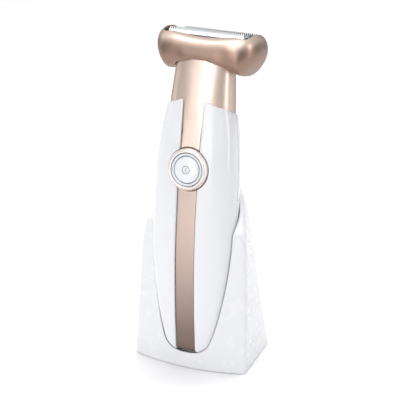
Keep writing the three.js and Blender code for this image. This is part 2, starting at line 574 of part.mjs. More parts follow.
// Foil unit: a floating frame with the arched foil along its middle and a toothed comb each side. Its
// rim rises outside the combs and slopes away from them.
function foilCassette() {
  const depth = CASSETTE_HALF_DEPTH, ledge = COMB_OUT + GAP;
  const rim = cut(slab(0, HEAD_MID_Y, 47.2, 2 * depth, 3.6, 12.4, SHOULDER_TOP),
    slab(0, HEAD_MID_Y, 42.2, 2 * (depth - 2.4), 0.6, 11, 22),
    slab(0, HEAD_MID_Y, 42.4, 2 * ledge, 0.6, CASSETTE_TOP, 22));
  const slopes = [-1, 1].map((side) => {
    const out = depth + 0.1;
    const corners = [[ledge, SHOULDER_TOP], [out, SHOULDER_TOP - 1.65], [out, 22], [ledge, 22]];
    const outline = corners.map(([v, z]) => [HEAD_MID_Y + side * v, z]);
    return bar(side > 0 ? outline : outline.reverse(), -30, 30);
  });
  const seats = [-1, 1].map((s) => block([s > 0 ? 16 : -22, HEAD_MID_Y - 3, SPRING_SEAT],
    [s > 0 ? 22 : -16, HEAD_MID_Y + 3, SPRING_SEAT + 0.7]));
  return join(cut(rim, ...slopes), ...seats);
}
add(head, "foil_cassette", foilCassette(), FINISH.frame);

// An arch in the [y, z] plane, with straight legs down to its foot.
function arch(radius, foot, sides) {
  const over = Array.from({ length: sides + 1 }, (_, i) => {
    const a = (Math.PI * i) / sides;
    return [HEAD_MID_Y + FOIL_SPREAD * radius * Math.cos(a), FOIL_SPRING_LINE + radius * Math.sin(a)];
  });
  return [[HEAD_MID_Y - FOIL_SPREAD * radius, foot], [HEAD_MID_Y + FOIL_SPREAD * radius, foot], ...over];
}
const foilHalf = FOIL_LENGTH / 2;
const foil = cut(bar(arch(FOIL_RADIUS, 17, 12), -foilHalf, foilHalf),
  bar(arch(FOIL_RADIUS - 0.25, 16, 12), -foilHalf - 1, foilHalf + 1));
add(head, "shaving_foil", foil, FINISH.steel);

// A toothed plate that slopes inwards as it rises. Side -1 is the front one, and inset is how far
// inside the outer comb it lies.
function toothedPlate(side, inset, length, thick, foot, tip, teeth) {
  const at = (v) => HEAD_MID_Y + side * (v - inset);
  const upper = COMB_OUT - COMB_LEAN;
  const inner = [[at(upper - thick), tip], [at(COMB_OUT - 0.6), foot]];
  const outline = [[at(COMB_OUT), foot], [at(upper), tip], ...inner];
  const plate = bar(side > 0 ? outline : outline.reverse(), -length / 2, length / 2);
  const pitch = length / teeth;
  const slots = Array.from({ length: teeth - 1 }, (_, i) => {
    const x = (i - (teeth - 2) / 2) * pitch;
    const sides = [at(COMB_OUT + 1), at(upper - 2)].sort((a, b) => a - b);
    return block([x - pitch / 4, sides[0], tip - TOOTH_DEPTH], [x + pitch / 4, sides[1], tip + 1]);
  });
  return cut(plate, ...slots);
}
for (const [where, side] of [["front", -1], ["rear", 1]]) {
  const comb = toothedPlate(side, 0, 2 * foilHalf, 0.6, CASSETTE_TOP + GAP, COMB_TIP, COMB_TEETH);
  add(head, `trimmer_comb_${where}`, comb, FINISH.steel);
  const blade = toothedPlate(side, 0.9, BLADE_LENGTH, 0.5, CASSETTE_TOP + GAP, COMB_TIP - GAP, BLADE_TEETH);
  add(head, `trimmer_blade_${where}`, blade, FINISH.darkSteel);
}

// Carrier of the moving blades, with a socket under it for the drive pin.
function cutterCarrier() {
  const half = BLADE_LENGTH / 2;
  const out = CASSETTE_HALF_DEPTH - 2.4 - GAP;
  const floor = block([-half, HEAD_MID_Y - out, CARRIER_FOOT], [half, HEAD_MID_Y + out, CARRIER_FOOT + 1.3]);
  const sides = [-1, 1].map((s) => block([-half, HEAD_MID_Y + (s > 0 ? out - 1 : -out), CARRIER_FOOT],
    [half, HEAD_MID_Y + (s > 0 ? out : 1 - out), CASSETTE_TOP]));
  const socket = block([-3.4, HEAD_MID_Y - 3.4, 12.3], [3.4, HEAD_MID_Y + 3.4, CARRIER_FOOT + 0.5]);
  const hole = slab(0, 3.2, 2 * (PIN_RADIUS + GAP), 4.6, 1.4, 10, 16.1);
  return cut(join(floor, ...sides, socket), hole);
}
add(head, "cutter_carrier", cutterCarrier(), FINISH.frame);

// Cutter: a row of arched lamellae on a spine, just under the foil.
function innerCutter() {
  const half = BLADE_LENGTH / 2, radius = FOIL_RADIUS - 0.55, pitch = (2 * half - 0.6) / (LAMELLAE - 1);
  const lamellae = Array.from({ length: LAMELLAE }, (_, i) => {
    const x = -half + i * pitch;
    return bar(arch(radius, 17.1, 8), x, x + 0.6);
  });
  return join(block([-half, HEAD_MID_Y - 1.6, 16.9], [half, HEAD_MID_Y + 1.6, 18.6]), ...lamellae);
}
add(head, "inner_cutter", innerCutter(), FINISH.steel);

for (const [where, side] of SIDES) {
  const spring = coil(side * 18.6, HEAD_MID_Y, BASE_PLATE_TOP + 0.25, SPRING_SEAT - 0.25, 2, 0.3, 2.5);
  add(head, `foil_spring_${where}`, spring, FINISH.steel);
}

// ---------------------------------------------------------------- stand

// Rounds a corner between two points by a quadratic curve.
function corner(from, at, to, steps) {
  return Array.from({ length: steps + 1 }, (_, i) => {
    const t = i / steps, a = (1 - t) ** 2, b = 2 * t * (1 - t), c = t * t;
    return [0, 1].map((k) => a * from[k] + b * at[k] + c * to[k]);
  });
}

// The stand's outline at a height, grown by an offset: a bowed front edge, straight flanks drawing in
// towards the back, and rounded corners.
function standOutline(z, offset) {
  const front = standFrontHalf(z) + offset, rear = standRearHalf(z) + offset;
  const y0 = standFrontY(z) - offset, y1 = standRearY(z) + offset;
  const bow = (x) => y0 - (FRONT_BOW - BOW_LOSS * z) * (1 - (x / front) ** 2);
  const back = (x) => y1 - REAR_BOW * (x / rear) ** 2;
  const flank = (t) => [front + (rear - front) * t, y0 + (y1 - REAR_BOW - y0) * t];
  const xr = rear - REAR_CORNER, xf = front - FRONT_CORNER;
  const rearCorner = corner(flank(0.86), flank(1), [xr, back(xr)], 4);
  const frontCorner = corner([xf, bow(xf)], flank(0), flank(0.09), 3);
  const half = [...frontCorner, ...rearCorner];
  const middleFront = [-0.6, -0.2, 0.2, 0.6].map((k) => [k * xf, bow(k * xf)]);
  const middleRear = [0.4, -0.4].map((k) => [k * xr, back(k * xr)]);
  return [...middleFront, ...half, ...middleRear, ...half.map(([x, y]) => [-x, y]).reverse()];
}

function standForm(offset, low, high) {
  const stations = [low, ...STAND_STATIONS.filter((z) => z > low + 0.5 && z < high - 0.5), high];
  return toSolid(loft(stations.map((z) => standOutline(z, offset).map(([x, y]) => [x, y, z]))));
}

// What lies under the stand's rim, which rises from the front corners to the back, less a depth.
function belowRim(depth) {
  const stations = Array.from({ length: 10 }, (_, i) => 12 - 4 * i);
  return toSolid(loft([-50, 0, 50].map((x) => {
    const top = (y) => standRim(y) + RIM_TILT * (RIM_OUTSIDE - Math.abs(x)) - depth;
    const edge = [FAR, ...stations, -FAR].map((y) => [x, y, top(y)]);
    return [[x, -FAR, -10], [x, FAR, -10], ...edge];
  })));
}

// The space the shaver lifts out of, grown by an offset. It is also clear for the battery cover's slide.
function nestForm(offset) {
  const widest = 90;
  const stations = BODY_STATIONS.filter((t) => t <= widest);
  const rings = [...stations, 150].map((t) => {
    const at = Math.min(t, widest);
    const z = t === 0 ? -offset : t;
    const outline = oval(halfWidth(at) + offset, frontDepth(at) + offset, rearDepth(at) + offset + 0.2,
      BODY_POWER, REAR_POWER, BODY_SIDES);
    return outline.map(([x, y]) => [x, y, z]);
  });
  const fixed = toSolid(loft(rings));
  const slid = toSolid(loft(rings.map((ring) => ring.map(([x, y, z]) => [x, y, z - COVER_TRAVEL]))))
    .intersect(block([-FAR, -offset, -20], [FAR, FAR, 160]));
  return place(join(fixed, slid), shaver.matrix);
}

const BOSSES = [[-20, -9], [20, -9], [-15, 14], [15, 14]];

function standShell() {
  const outer = standForm(0, SHELL_FOOT, STAND_TOP).intersect(belowRim(0));
  const cavity = cut(standForm(-STAND_WALL, -1, STAND_TOP - STAND_WALL).intersect(belowRim(STAND_WALL)),
    nestForm(NEST_CLEARANCE + STAND_WALL));
  const bosses = BOSSES.map(([x, y]) => post(x, y, PLATE_TOP + GAP, 3.6, 90, 12));
  const ribs = BOSSES.map(([x, y]) => block([Math.min(x, Math.sign(x) * 40), y - 0.8, PLATE_TOP + GAP],
    [Math.max(x, Math.sign(x) * 40), y + 0.8, 40]));
  const inner = join(...bosses, ...ribs).intersect(standForm(-1, 1, STAND_TOP - 1)).intersect(belowRim(1));
  const pilots = BOSSES.map(([x, y]) => post(x, y, 2, 1.5, 14, 8));
  return cut(join(cut(outer, cavity), inner), nestForm(NEST_CLEARANCE), ...pilots);
}
add(product, "stand_shell", standShell(), FINISH.white);

function standPlate(offset, low, high) {
  const outline = (z) => standOutline(2, offset).map(([x, y]) => [x, y, z]);
  return toSolid(loft([outline(low), outline(high)]));
}
const plate = cut(standPlate(-STAND_WALL - 0.6, PAD_THICK + GAP, PLATE_TOP),
  nestForm(NEST_CLEARANCE + STAND_WALL + GAP),
  ...BOSSES.flatMap(([x, y]) => [post(x, y, 0, 1.5, 8, 8), post(x, y, 0, 3.3, PLATE_TOP - 1, 12)]));
add(product, "stand_base_plate", plate, FINISH.frame);
add(product, "anti_slip_pad", standPlate(-STAND_WALL - 0.8, 0, PAD_THICK), FINISH.rubber);
BOSSES.forEach(([x, y], i) => {
  const screw = join(post(x, y, PAD_THICK + GAP, 3, 1, 12), post(x, y, 2, 1.1, 12, 8));
  add(product, `stand_screw_${i + 1}`, screw, FINISH.steel);
});

export default product;
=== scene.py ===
"""Looks of the lady shaver in its storage stand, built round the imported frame.

The covers, the neck, the head and the stand are smooth solids, each described by a field that is
negative inside the solid, and meshed at a fine step. Lengths in the fields are millimetres, in the
frame of the stand, the handle or the head. Blender objects are in metres.
"""

import json
import math

import bmesh
import bpy
import numpy as np
from mathutils import Matrix, Vector


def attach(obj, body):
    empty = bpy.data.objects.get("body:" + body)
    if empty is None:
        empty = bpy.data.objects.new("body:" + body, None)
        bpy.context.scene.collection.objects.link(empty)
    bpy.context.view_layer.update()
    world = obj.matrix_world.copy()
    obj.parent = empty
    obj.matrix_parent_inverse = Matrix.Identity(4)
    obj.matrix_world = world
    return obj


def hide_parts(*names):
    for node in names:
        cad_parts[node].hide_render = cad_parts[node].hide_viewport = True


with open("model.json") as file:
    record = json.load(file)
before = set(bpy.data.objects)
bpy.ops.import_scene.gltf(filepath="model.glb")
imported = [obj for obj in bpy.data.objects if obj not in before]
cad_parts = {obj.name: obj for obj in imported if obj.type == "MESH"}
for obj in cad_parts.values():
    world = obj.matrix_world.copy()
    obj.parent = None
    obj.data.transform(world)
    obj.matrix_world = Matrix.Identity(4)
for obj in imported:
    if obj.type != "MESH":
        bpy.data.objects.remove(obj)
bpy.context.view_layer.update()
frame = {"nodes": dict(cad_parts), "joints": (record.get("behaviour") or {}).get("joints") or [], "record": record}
MM = 0.001


# ---------------------------------------------------------------- places taken from the frame

def joint(name):
    return next(j for j in frame["joints"] if j["name"] == name)


def tilt_of(axis):
    """Angle by which an axis leans from +Z towards +Y."""
    return math.atan2(axis[1], axis[2])


LEAN = tilt_of(joint("handle_lift")["axis"])
HEAD_TILT = tilt_of(joint("foil_float")["axis"]) - LEAN
MOTOR_IN_HANDLE = Vector((0, 2, 130))  # the point of the motor's axis that its joint names, in mm
HEAD_IN_HANDLE = Vector((0, 2.35, 150))
BUTTON_TILT = math.radians(4)
BUTTON_HEIGHT = 102

TO_METRES = Matrix.Scale(MM, 4)
handle_turn = Matrix.Rotation(-LEAN, 4, "X")
motor_at = Vector(joint("motor_spin")["pos_m"]) / MM
HANDLE = Matrix.Translation(motor_at - handle_turn @ MOTOR_IN_HANDLE) @ handle_turn
HEAD = HANDLE @ Matrix.Translation(HEAD_IN_HANDLE) @ Matrix.Rotation(-HEAD_TILT, 4, "X")
STAND = Matrix.Identity(4)


# ---------------------------------------------------------------- camera

CAMERA_AZIMUTH = math.radians(25)
CAMERA_HEIGHT = math.radians(20.9)
CAMERA_AIM = Vector((-0.0029, 0, 0.0864))
CAMERA_DISTANCE = 0.7987
LENS_MM, SENSOR_MM = 136, 36


def add_camera():
    back = Vector((math.sin(CAMERA_AZIMUTH) * math.cos(CAMERA_HEIGHT),
                   -math.cos(CAMERA_AZIMUTH) * math.cos(CAMERA_HEIGHT), math.sin(CAMERA_HEIGHT)))
    data = bpy.data.cameras.new("camera")
    data.lens = LENS_MM
    data.sensor_width = SENSOR_MM
    camera = bpy.data.objects.new("camera", data)
    camera.location = CAMERA_AIM + back * CAMERA_DISTANCE
    camera.rotation_euler = back.to_track_quat("Z", "Y").to_euler()
    bpy.context.scene.collection.objects.link(camera)
    bpy.context.scene.camera = camera


add_camera()


# ---------------------------------------------------------------- curves and fields

def spline(keys):
    """A natural cubic spline through [x, y] pairs, as a function of an array."""
    x, y = np.array(keys, float).T
    h = np.diff(x)
    n = len(x)
    a = np.eye(n)
    b = np.zeros(n)
    for i in range(1, n - 1):
        a[i, i - 1:i + 2] = h[i - 1], 2 * (h[i - 1] + h[i]), h[i]
        b[i] = 6 * ((y[i + 1] - y[i]) / h[i] - (y[i] - y[i - 1]) / h[i - 1])
    m = np.linalg.solve(a, b)
    fine = np.linspace(x[0], x[-1], 2000)
    i = np.clip(np.searchsorted(x, fine) - 1, 0, n - 2)
    left, right = fine - x[i], x[i + 1] - fine
    value = (m[i] * right ** 3 + m[i + 1] * left ** 3) / (6 * h[i])
    value += (y[i] / h[i] - m[i] * h[i] / 6) * right + (y[i + 1] / h[i] - m[i + 1] * h[i] / 6) * left
    return lambda t: np.interp(t, fine, value)


def step(low, high, v):
    """Rises smoothly from 0 to 1 between low and high."""
    t = np.clip((v - low) / (high - low), 0, 1)
    return t * t * (3 - 2 * t)


def both(a, b, radius):
    """Inside both fields, with the edge between them rounded."""
    rounding = np.maximum(radius - np.abs(a - b), 0)
    return np.maximum(a, b) + rounding * rounding / (4 * radius)


def either(a, b, radius):
    return -both(-a, -b, radius)


def without(a, b, radius):
    return both(a, -b, radius)


def outline(x, y, half, front, rear, front_power, rear_power):
    """Distance, nearly, from a rounded-square outline whose front is towards -Y."""
    is_front = y < 0
    depth = np.where(is_front, front, rear)
    p = np.where(is_front, front_power, rear_power)
    u = np.abs(x) / half + 1e-6
    v = np.abs(y) / depth + 1e-6
    g = (u ** p + v ** p) ** (1 / p)
    slope = g ** (1 - p) * np.hypot(u ** (p - 1) / half, v ** (p - 1) / depth)
    return (g - 1) / slope


def rounded_rectangle(x, y, half_x, half_y, radius):
    dx = np.abs(x) - half_x + radius
    dy = np.abs(y) - half_y + radius
    outside = np.hypot(np.maximum(dx, 0), np.maximum(dy, 0))
    return outside + np.minimum(np.maximum(dx, dy), 0) - radius


PROBE = 0.02  # how far to each side of a point a field is read for its slope
TINY = 1e-9  # keeps a division from failing
GENTLEST_SLOPE = 0.05


def slope_of(field, points):
    """The field's rate of change along each axis."""
    rise = [field(*(points + PROBE * axis).T) - field(*(points - PROBE * axis).T) for axis in np.eye(3)]
    return np.stack(rise, 1) / (2 * PROBE)


def length_of(vectors):
    return np.maximum(np.linalg.norm(vectors, axis=1), TINY)


def project(field, points, rounds, reach):
    """Moves points onto the field's surface along its slope, by no more than the reach each round."""
    for _ in range(rounds):
        value = field(*points.T)
        slope = slope_of(field, points)
        move = slope * (value / np.maximum((slope ** 2).sum(1), GENTLEST_SLOPE))[:, None]
        points = points - move * np.minimum(1, reach / length_of(move))[:, None]
    return points


def corner_slices(d, n):
    """All but the last of n entries, or all but the first when d is 1."""
    return slice(d, n - 1 + d)


def surface_of(field, low, high, pitch):
    """Vertices and quads of a field's zero surface, one vertex in each grid cell that it crosses."""
    axes = [np.arange(a - 2 * pitch, b + 2.5 * pitch, pitch) for a, b in zip(low, high)]
    grid = np.meshgrid(*axes, indexing="ij")
    f = field(*grid)
    inside = f < 0
    n = f.shape
    total = np.zeros((3,) + tuple(k - 1 for k in n))
    count = np.zeros(total.shape[1:])
    quads = []
    numbers = -np.ones(count.shape, int)
    edges = []
    for k in range(3):
        first = [slice(None)] * 3
        second = [slice(None)] * 3
        first[k], second[k] = slice(0, n[k] - 1), slice(1, n[k])
        first, second = tuple(first), tuple(second)
        crossed = inside[first] != inside[second]
        fa, fb = f[first], f[second]
        part = np.where(crossed, fa / np.where(crossed, fa - fb, 1), 0)
        others = [m for m in range(3) if m != k]
        for da in (0, 1):
            for db in (0, 1):
                cell = [slice(None)] * 3
                cell[others[0]] = corner_slices(da, n[others[0]])
                cell[others[1]] = corner_slices(db, n[others[1]])
                cell = tuple(cell)
                hit = crossed[cell]
                count += hit
                for m in range(3):
                    at = grid[m][first][cell] + (part[cell] * pitch if m == k else 0)
                    total[m] += np.where(hit, at, 0)
        edges.append((crossed, inside[first]))
    used = count > 0
    numbers[used] = np.arange(used.sum())
    points = np.stack([total[m][used] / count[used] for m in range(3)], 1)
    for k, (crossed, starts_inside) in enumerate(edges):
        a, b = (k + 1) % 3, (k + 2) % 3
        where = np.argwhere(crossed)
        short_of_end = (where[:, a] < n[a] - 1) & (where[:, b] < n[b] - 1)
        where = where[(where[:, a] > 0) & (where[:, b] > 0) & short_of_end]
        ring = []
        for da, db in ((1, 1), (0, 1), (0, 0), (1, 0)):
            cell = where.copy()
            cell[:, a] -= da
            cell[:, b] -= db
            ring.append(numbers[tuple(cell.T)])
        ring = np.stack(ring, 1)
        outward = starts_inside[tuple(where.T)]
        quads.append(np.where(outward[:, None], ring, ring[:, ::-1]))
    return points, np.concatenate(quads)


def gather(quads, values, count):
    """For each vertex, the sum of a value over the quads round it."""
    return np.bincount(quads.ravel(), np.repeat(values, 4), count)


def relax(points, quads, amount):
    """Draws each vertex towards the middle of the quads round it."""
    middle = points[quads].mean(1)
    weight = np.bincount(quads.ravel(), minlength=len(points))
    drawn = np.stack([gather(quads, middle[:, k], len(points)) for k in range(3)], 1)
    return points + amount * (drawn / weight[:, None] - points)


def keep_creases(field, points, quads, pitch):
    """Moves vertices near an edge onto it: to where the planes of the quads round them meet."""
    hold, shortest, longest = 0.08, 0.06 * pitch, 0.6 * pitch
    centres = project(field, points[quads].mean(1), 2, pitch)
    normals = slope_of(field, centres)
    normals /= length_of(normals)[:, None]
    reach = (normals * centres).sum(1)
    n = len(points)
    a = np.stack([np.stack([gather(quads, normals[:, i] * normals[:, j], n) for j in range(3)], 1)
                  for i in range(3)], 1)
    b = np.stack([gather(quads, normals[:, i] * reach, n) for i in range(3)], 1)
    a += hold * np.eye(3)
    b += hold * points
    move = np.linalg.solve(a, b[:, :, None])[:, :, 0] - points
    length = length_of(move)
    share = np.minimum(1, longest / length) * (length > shortest)
    return points + move * share[:, None]


def new_object(name, points, faces, place, smooth=True):
    """A mesh object from millimetre points in a local frame."""
    turn = np.array(TO_METRES @ place)
    world = points @ turn[:3, :3].T + turn[:3, 3]
    mesh = bpy.data.meshes.new(name)
    mesh.from_pydata(world.tolist(), [], [list(map(int, q)) for q in faces])
    mesh.polygons.foreach_set("use_smooth", [smooth] * len(mesh.polygons))
    mesh.update()
    obj = bpy.data.objects.new(name, mesh)
    bpy.context.scene.collection.objects.link(obj)
    return obj


RELAXING = (0.6, 0.5, 0.4)  # gentler each time


def solid(name, field, low, high, pitch, place):
    """The mesh of a field between two corners of a box in mm, with vertices a pitch apart."""
    pitch *= 1
    points, quads = surface_of(field, low, high, pitch)
    for amount in RELAXING:
        points = project(field, points, 2, pitch)
        points = relax(points, quads, amount)
    points = project(field, points, 3, pitch / 2)
    points = keep_creases(field, points, quads, pitch)
    return new_object(name, points, quads, place)


def finish_piece(obj, body, slot, material, *nodes):
    """Gives a piece its look and says what it rides on and stands for."""
    obj.data.materials.clear()
    obj.data.materials.append(material)
    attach(obj, body)
    if nodes:
        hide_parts(*nodes)
    return obj


# ---------------------------------------------------------------- handle: profiles up its axis

half_width = spline([[0, 4.5], [0.8, 7.4], [2, 9.5], [4, 11.6], [7, 13.3], [12, 14.9], [20, 16.8],
                     [31, 18.9], [45, 20.9], [60, 22.2], [75, 22.5], [90, 22.4], [102, 22], [115, 21],
                     [122, 20.2], [127, 19.3], [132, 18.3], [138, 17.2]])
front_depth = spline([[0, 3.4], [2, 5], [7, 6.4], [12, 7.2], [20, 8.8], [31, 10.4], [45, 12.3], [60, 13.6],
                      [75, 14.3], [90, 14.6], [102, 14.4], [115, 13.6], [127, 12.4], [138, 11.6]])
rear_depth = spline([[0, 3.4], [2, 5.2], [7, 6.8], [12, 7.8], [20, 9.2], [31, 10.8], [45, 12.0],
                     [60, 12.8], [75, 13.4], [90, 13.8], [115, 14.2], [127, 14.4], [138, 14.6]])
neck_half = spline([[118, 17.6], [138, 16.8], [150, 15.7], [164, 14.7]])
neck_front = spline([[118, 11.8], [138, 10.7], [150, 9], [157, 7.8], [164, 6.9]])
neck_rear = spline([[118, 12.4], [138, 13.4], [164, 15.6]])

COVER_WALL = 1.8
COVER_FLOOR = 1.6
FOOT_ROUNDING = 1.4
COLLAR_ROUNDING = 0.9
HALF_GAP = 0.15
PART_LINE = 0.35  # rounding along the line where the covers meet
HIDDEN_EDGE = 0.3  # rounding of edges inside
NECK_WALL = 1.6
NECK_FOOT = 121
NECK_CLEARANCE = 0.3
STRIP_HALF = 5.2
CHANNEL_HALF = 5.45
CHANNEL_DEPTH = 2.1
CHANNEL_CORNER = 2.6  # rounding of each panel's top corner beside the channel
CHANNEL_LIP = 1.3  # rounding of the panels' edges along the channel
BACKING_DEPTH, BACKING_HALF_THICK, BACKING_HALF = 2.75, 0.65, 7  # the channel's floor
BACKING_LOW, BACKING_TOP = 1.2, 119
STRIP_SUNK = 1.0
STRIP_THICK = 0.9
STRIP_MIDDLE, STRIP_REACH = 120.5, 18.5  # the upper strip's middle height, and how far it runs each way
STRIP_LOW, STRIP_BREAK = 1.4, 100  # where the lower strip starts and ends
STRIP_EDGE = 0.35
BUTTON_RADIUS = 6.9
RING_RADIUS = 8.5
BEZEL_RADIUS = 11.0
BEZEL_PROUD = 3.0
BEZEL_HOLE, BEZEL_HOLE_DEPTH = BEZEL_RADIUS + 0.3, 7
BATTERY_COVER_TOP = 86
NECK_MOUTH = 8.8  # height of the neck's top face in the head's frame
RELEASE_HEIGHT = 145
DRIVE_PIN_Y = 6.6
CONTROL_DEPTH = float(front_depth(BUTTON_HEIGHT)) - STRIP_SUNK
CONTROL = HANDLE @ Matrix.Translation((0, -CONTROL_DEPTH, BUTTON_HEIGHT)) @ Matrix.Rotation(
    math.pi / 2 - BUTTON_TILT, 4, "X")


def body(x, y, t):
    """The handle's outer form. t is the height up its axis."""
    return outline(x, y, half_width(t), front_depth(t), rear_depth(t), 3, 2.4)


def neck(x, y, t):
    return outline(x, y, neck_half(t), neck_front(t), neck_rear(t), 2.5, 2.5)


COLLAR_TOP, COLLAR_FALL, COLLAR_DROP, COLLAR_HALF = 135.5, 0.39, 3.6, 14


def above_collar(x, y, t):
    """The covers' top edge falls from the middle of the front to the sides and back."""
    edge = COLLAR_TOP - COLLAR_FALL * y - COLLAR_DROP * step(0, COLLAR_HALF, np.abs(x))
    return (t - edge) * 0.93  # which brings the field's slope to about 1


def head_height(y, t):
    """Height of a point of the handle's frame in the head's frame."""
    return (t - HEAD_IN_HANDLE[2]) * math.cos(HEAD_TILT) + (y - HEAD_IN_HANDLE[1]) * math.sin(HEAD_TILT)


def from_control_axis(x, y, t):
    """Distance from the power button's axis."""
    rise = (y + CONTROL_DEPTH) * math.sin(BUTTON_TILT) + (t - BUTTON_HEIGHT) * math.cos(BUTTON_TILT)
    return np.hypot(x, rise)


def bezel_hole(x, y, t):
    return np.maximum(from_control_axis(x, y, t) - BEZEL_HOLE, y + CONTROL_DEPTH - BEZEL_HOLE_DEPTH)


def cover_shell(x, y, t):
    outer = both(both(body(x, y, t), -t, FOOT_ROUNDING), above_collar(x, y, t), COLLAR_ROUNDING)
    hollow = np.maximum(body(x, y, t) + COVER_WALL, COVER_FLOOR - t)
    shell = without(outer, hollow, HIDDEN_EDGE)
    round_neck = np.maximum(neck(x, y, t) - NECK_CLEARANCE, NECK_FOOT - 2 - t)
    return without(shell, round_neck, 0.25)


def front_cover(x, y, t):
    """The front half, with the channel that the strips lie in and the floor behind it."""
    depth = body(x, y, t)
    shell = both(cover_shell(x, y, t), y + HALF_GAP, PART_LINE)
    kept = both(above_collar(x, y, t), CHANNEL_HALF - np.abs(x), CHANNEL_CORNER)
    channel = np.maximum(-kept, -(depth + CHANNEL_DEPTH))
    shell = without(shell, channel, CHANNEL_LIP)
    floor = np.maximum(np.abs(depth + BACKING_DEPTH) - BACKING_HALF_THICK, np.abs(x) - BACKING_HALF)
    floor = np.maximum(floor, np.maximum(BACKING_LOW - t, t - BACKING_TOP))
    return without(np.minimum(shell, np.maximum(floor, y + 2)), bezel_hole(x, y, t), 0.6)


def rear_cover(x, y, t):
    shell = both(cover_shell(x, y, t), HALF_GAP - y, PART_LINE)
    return both(shell, BATTERY_COVER_TOP + 2 * HALF_GAP - t, 0.4)


GRIP_LOW, GRIP_HIGH, GRIP_HALF = 66.5, 80.5, 9.5
GRIP_RIDGES, GRIP_DEPTH, RIDGE_RISE = 5, 0.9, 0.75  # a ridge rises by this share of the recess's depth


def battery_cover(x, y, t):
    """The lower rear cover, with a shallow thumb recess crossed by ridges."""
    middle = (GRIP_LOW + GRIP_HIGH) / 2
    recess = 1 - step(-1.2, 0.4, rounded_rectangle(x, t - middle, GRIP_HALF, (GRIP_HIGH - GRIP_LOW) / 2, 4))
    wave = np.cos((t - middle) * math.pi * GRIP_RIDGES / (GRIP_HIGH - GRIP_LOW - 2))
    ridge = step(0.1, 0.9, np.abs(wave)) * (1 - step(5.5, 7, np.abs(x)))
    sunk = GRIP_DEPTH * recess * (1 - RIDGE_RISE * ridge) * step(2, 6, y)
    shell = both(both(body(x, y, t) + sunk, -t, FOOT_ROUNDING), HALF_GAP - y, PART_LINE)
    hollow = np.maximum(body(x, y, t) + COVER_WALL + 0.3, COVER_FLOOR - t)
    shell = without(shell, hollow, HIDDEN_EDGE)
    return both(shell, t - BATTERY_COVER_TOP, 0.4)


def neck_housing(x, y, t):
    """The neck, running down into the strip above the button."""
    form = neck(x, y, t)
    over_mouth = head_height(y, t) - NECK_MOUTH
    wall = both(both(form, over_mouth, 0.8), NECK_FOOT - t, HIDDEN_EDGE)
    wall = without(wall, np.maximum(form + NECK_WALL, over_mouth + NECK_WALL), HIDDEN_EDGE)
    merging = step(122, 134, t)
    on_neck = form - 0.04 + 0.3 * step(134, 139, t)
    face = (body(x, y, t) + STRIP_SUNK) * (1 - merging) + on_neck * merging
    strip = both(np.abs(face + STRIP_THICK / 2) - STRIP_THICK / 2, np.abs(x) - STRIP_HALF, STRIP_EDGE)
    strip = np.maximum(np.maximum(strip, np.abs(t - STRIP_MIDDLE) - STRIP_REACH), y)
    made = either(wall, strip, 0.5)
    window = np.maximum(rounded_rectangle(x, t - RELEASE_HEIGHT, 6.3, 4.3, 2.3), 8 - y)
    slot = np.maximum(rounded_rectangle(x, y - DRIVE_PIN_Y, 4.1, 3, 2.9), 150 - t)
    for hole in (bezel_hole(x, y, t), window, slot):
        made = without(made, hole, 0.4)
    return made


def release_button(x, y, t):
    """A key in the back of the neck, dished for a fingertip, with three fine ridges."""
    key = both(rounded_rectangle(x, t - RELEASE_HEIGHT, 6, 4, 2), neck(x, y, t) - 0.7, 0.7)
    dish = 26 - np.sqrt(x * x + (t - RELEASE_HEIGHT) ** 2 + (y - neck_rear(t) - 26.2) ** 2)
    ridges = 0.22 * np.abs(np.cos((t - RELEASE_HEIGHT) * math.pi / 1.8)) * (1 - step(3, 4, np.abs(x)))
    return without(both(key, 11.2 - y, 0.3), -dish + ridges - 0.1, 0.4)


def lower_strip(x, y, t):
    depth = body(x, y, t) + STRIP_SUNK
    strip = both(np.abs(depth + STRIP_THICK / 2) - STRIP_THICK / 2, np.abs(x) - STRIP_HALF, STRIP_EDGE)
    strip = both(strip, STRIP_LOW - t, 0.5)
    strip = np.maximum(np.maximum(strip, t - STRIP_BREAK), y + 2)
    return without(strip, bezel_hole(x, y, t), 0.3)


# ---------------------------------------------------------------- head

HEAD_MID_Y = 4.2
HEAD_LOW, HEAD_TOP = 2.4, 19.4  # at the middle of its length
HEAD_FRONT, HEAD_REAR = 15.9, 14.6
HEAD_WALL = 1.8
END_START, END_LENGTH = 17.5, 11.0  # the ends close in over this stretch


def ease(low, high, v):
    """Rises from 0 to 1 between low and high, with no break in curvature."""
    t = np.clip((v - low) / (high - low), 0, 1)
    return t ** 3 * (t * (6 * t - 15) + 10)


def head_form(x, y, z):
    """The head's outer form, in the head's frame: a soft bar with a lobe at each end."""
    a = np.abs(x)
    # The underside dips beside the neck and lifts at the ends, and the top rises in a slow bow.
    underside = HEAD_LOW - HEAD_LOW * ease(12, 22, a) + 3.6 * ease(19, 30, a)
    top = HEAD_TOP + 0.0071 * np.minimum(a, 25) ** 2
    middle, rise = (top + underside) / 2, (top - underside) / 2
    p = 3.6 - 1.3 * ease(8, 28, a)  # squarer in the middle, rounder at the ends
    back = y - HEAD_MID_Y
    # A shallow valley in the lower front parts the middle from each lobe.
    valley = ease(7, 15, a) * (1 - ease(15, 23, a)) * (1 - ease(3, 15, z))
    front = HEAD_FRONT - 0.7 * valley - 0.7 * ease(14, 24, a)
    depth = np.where(back < 0, front, HEAD_REAR + 2 * ease(14, 21, a))
    u = np.abs(back) / depth + 1e-6
    v = np.abs(z - middle) / rise + 1e-6
    w = np.maximum(a - END_START, 0) / END_LENGTH + 1e-6
    g = (u ** p + v ** p + w ** p) ** (1 / p)
    slope = g ** (1 - p) * np.sqrt((u ** (p - 1) / depth) ** 2 + (v ** (p - 1) / rise) ** 2
                                   + (w ** (p - 1) / END_LENGTH) ** 2)
    return (g - 1) / slope


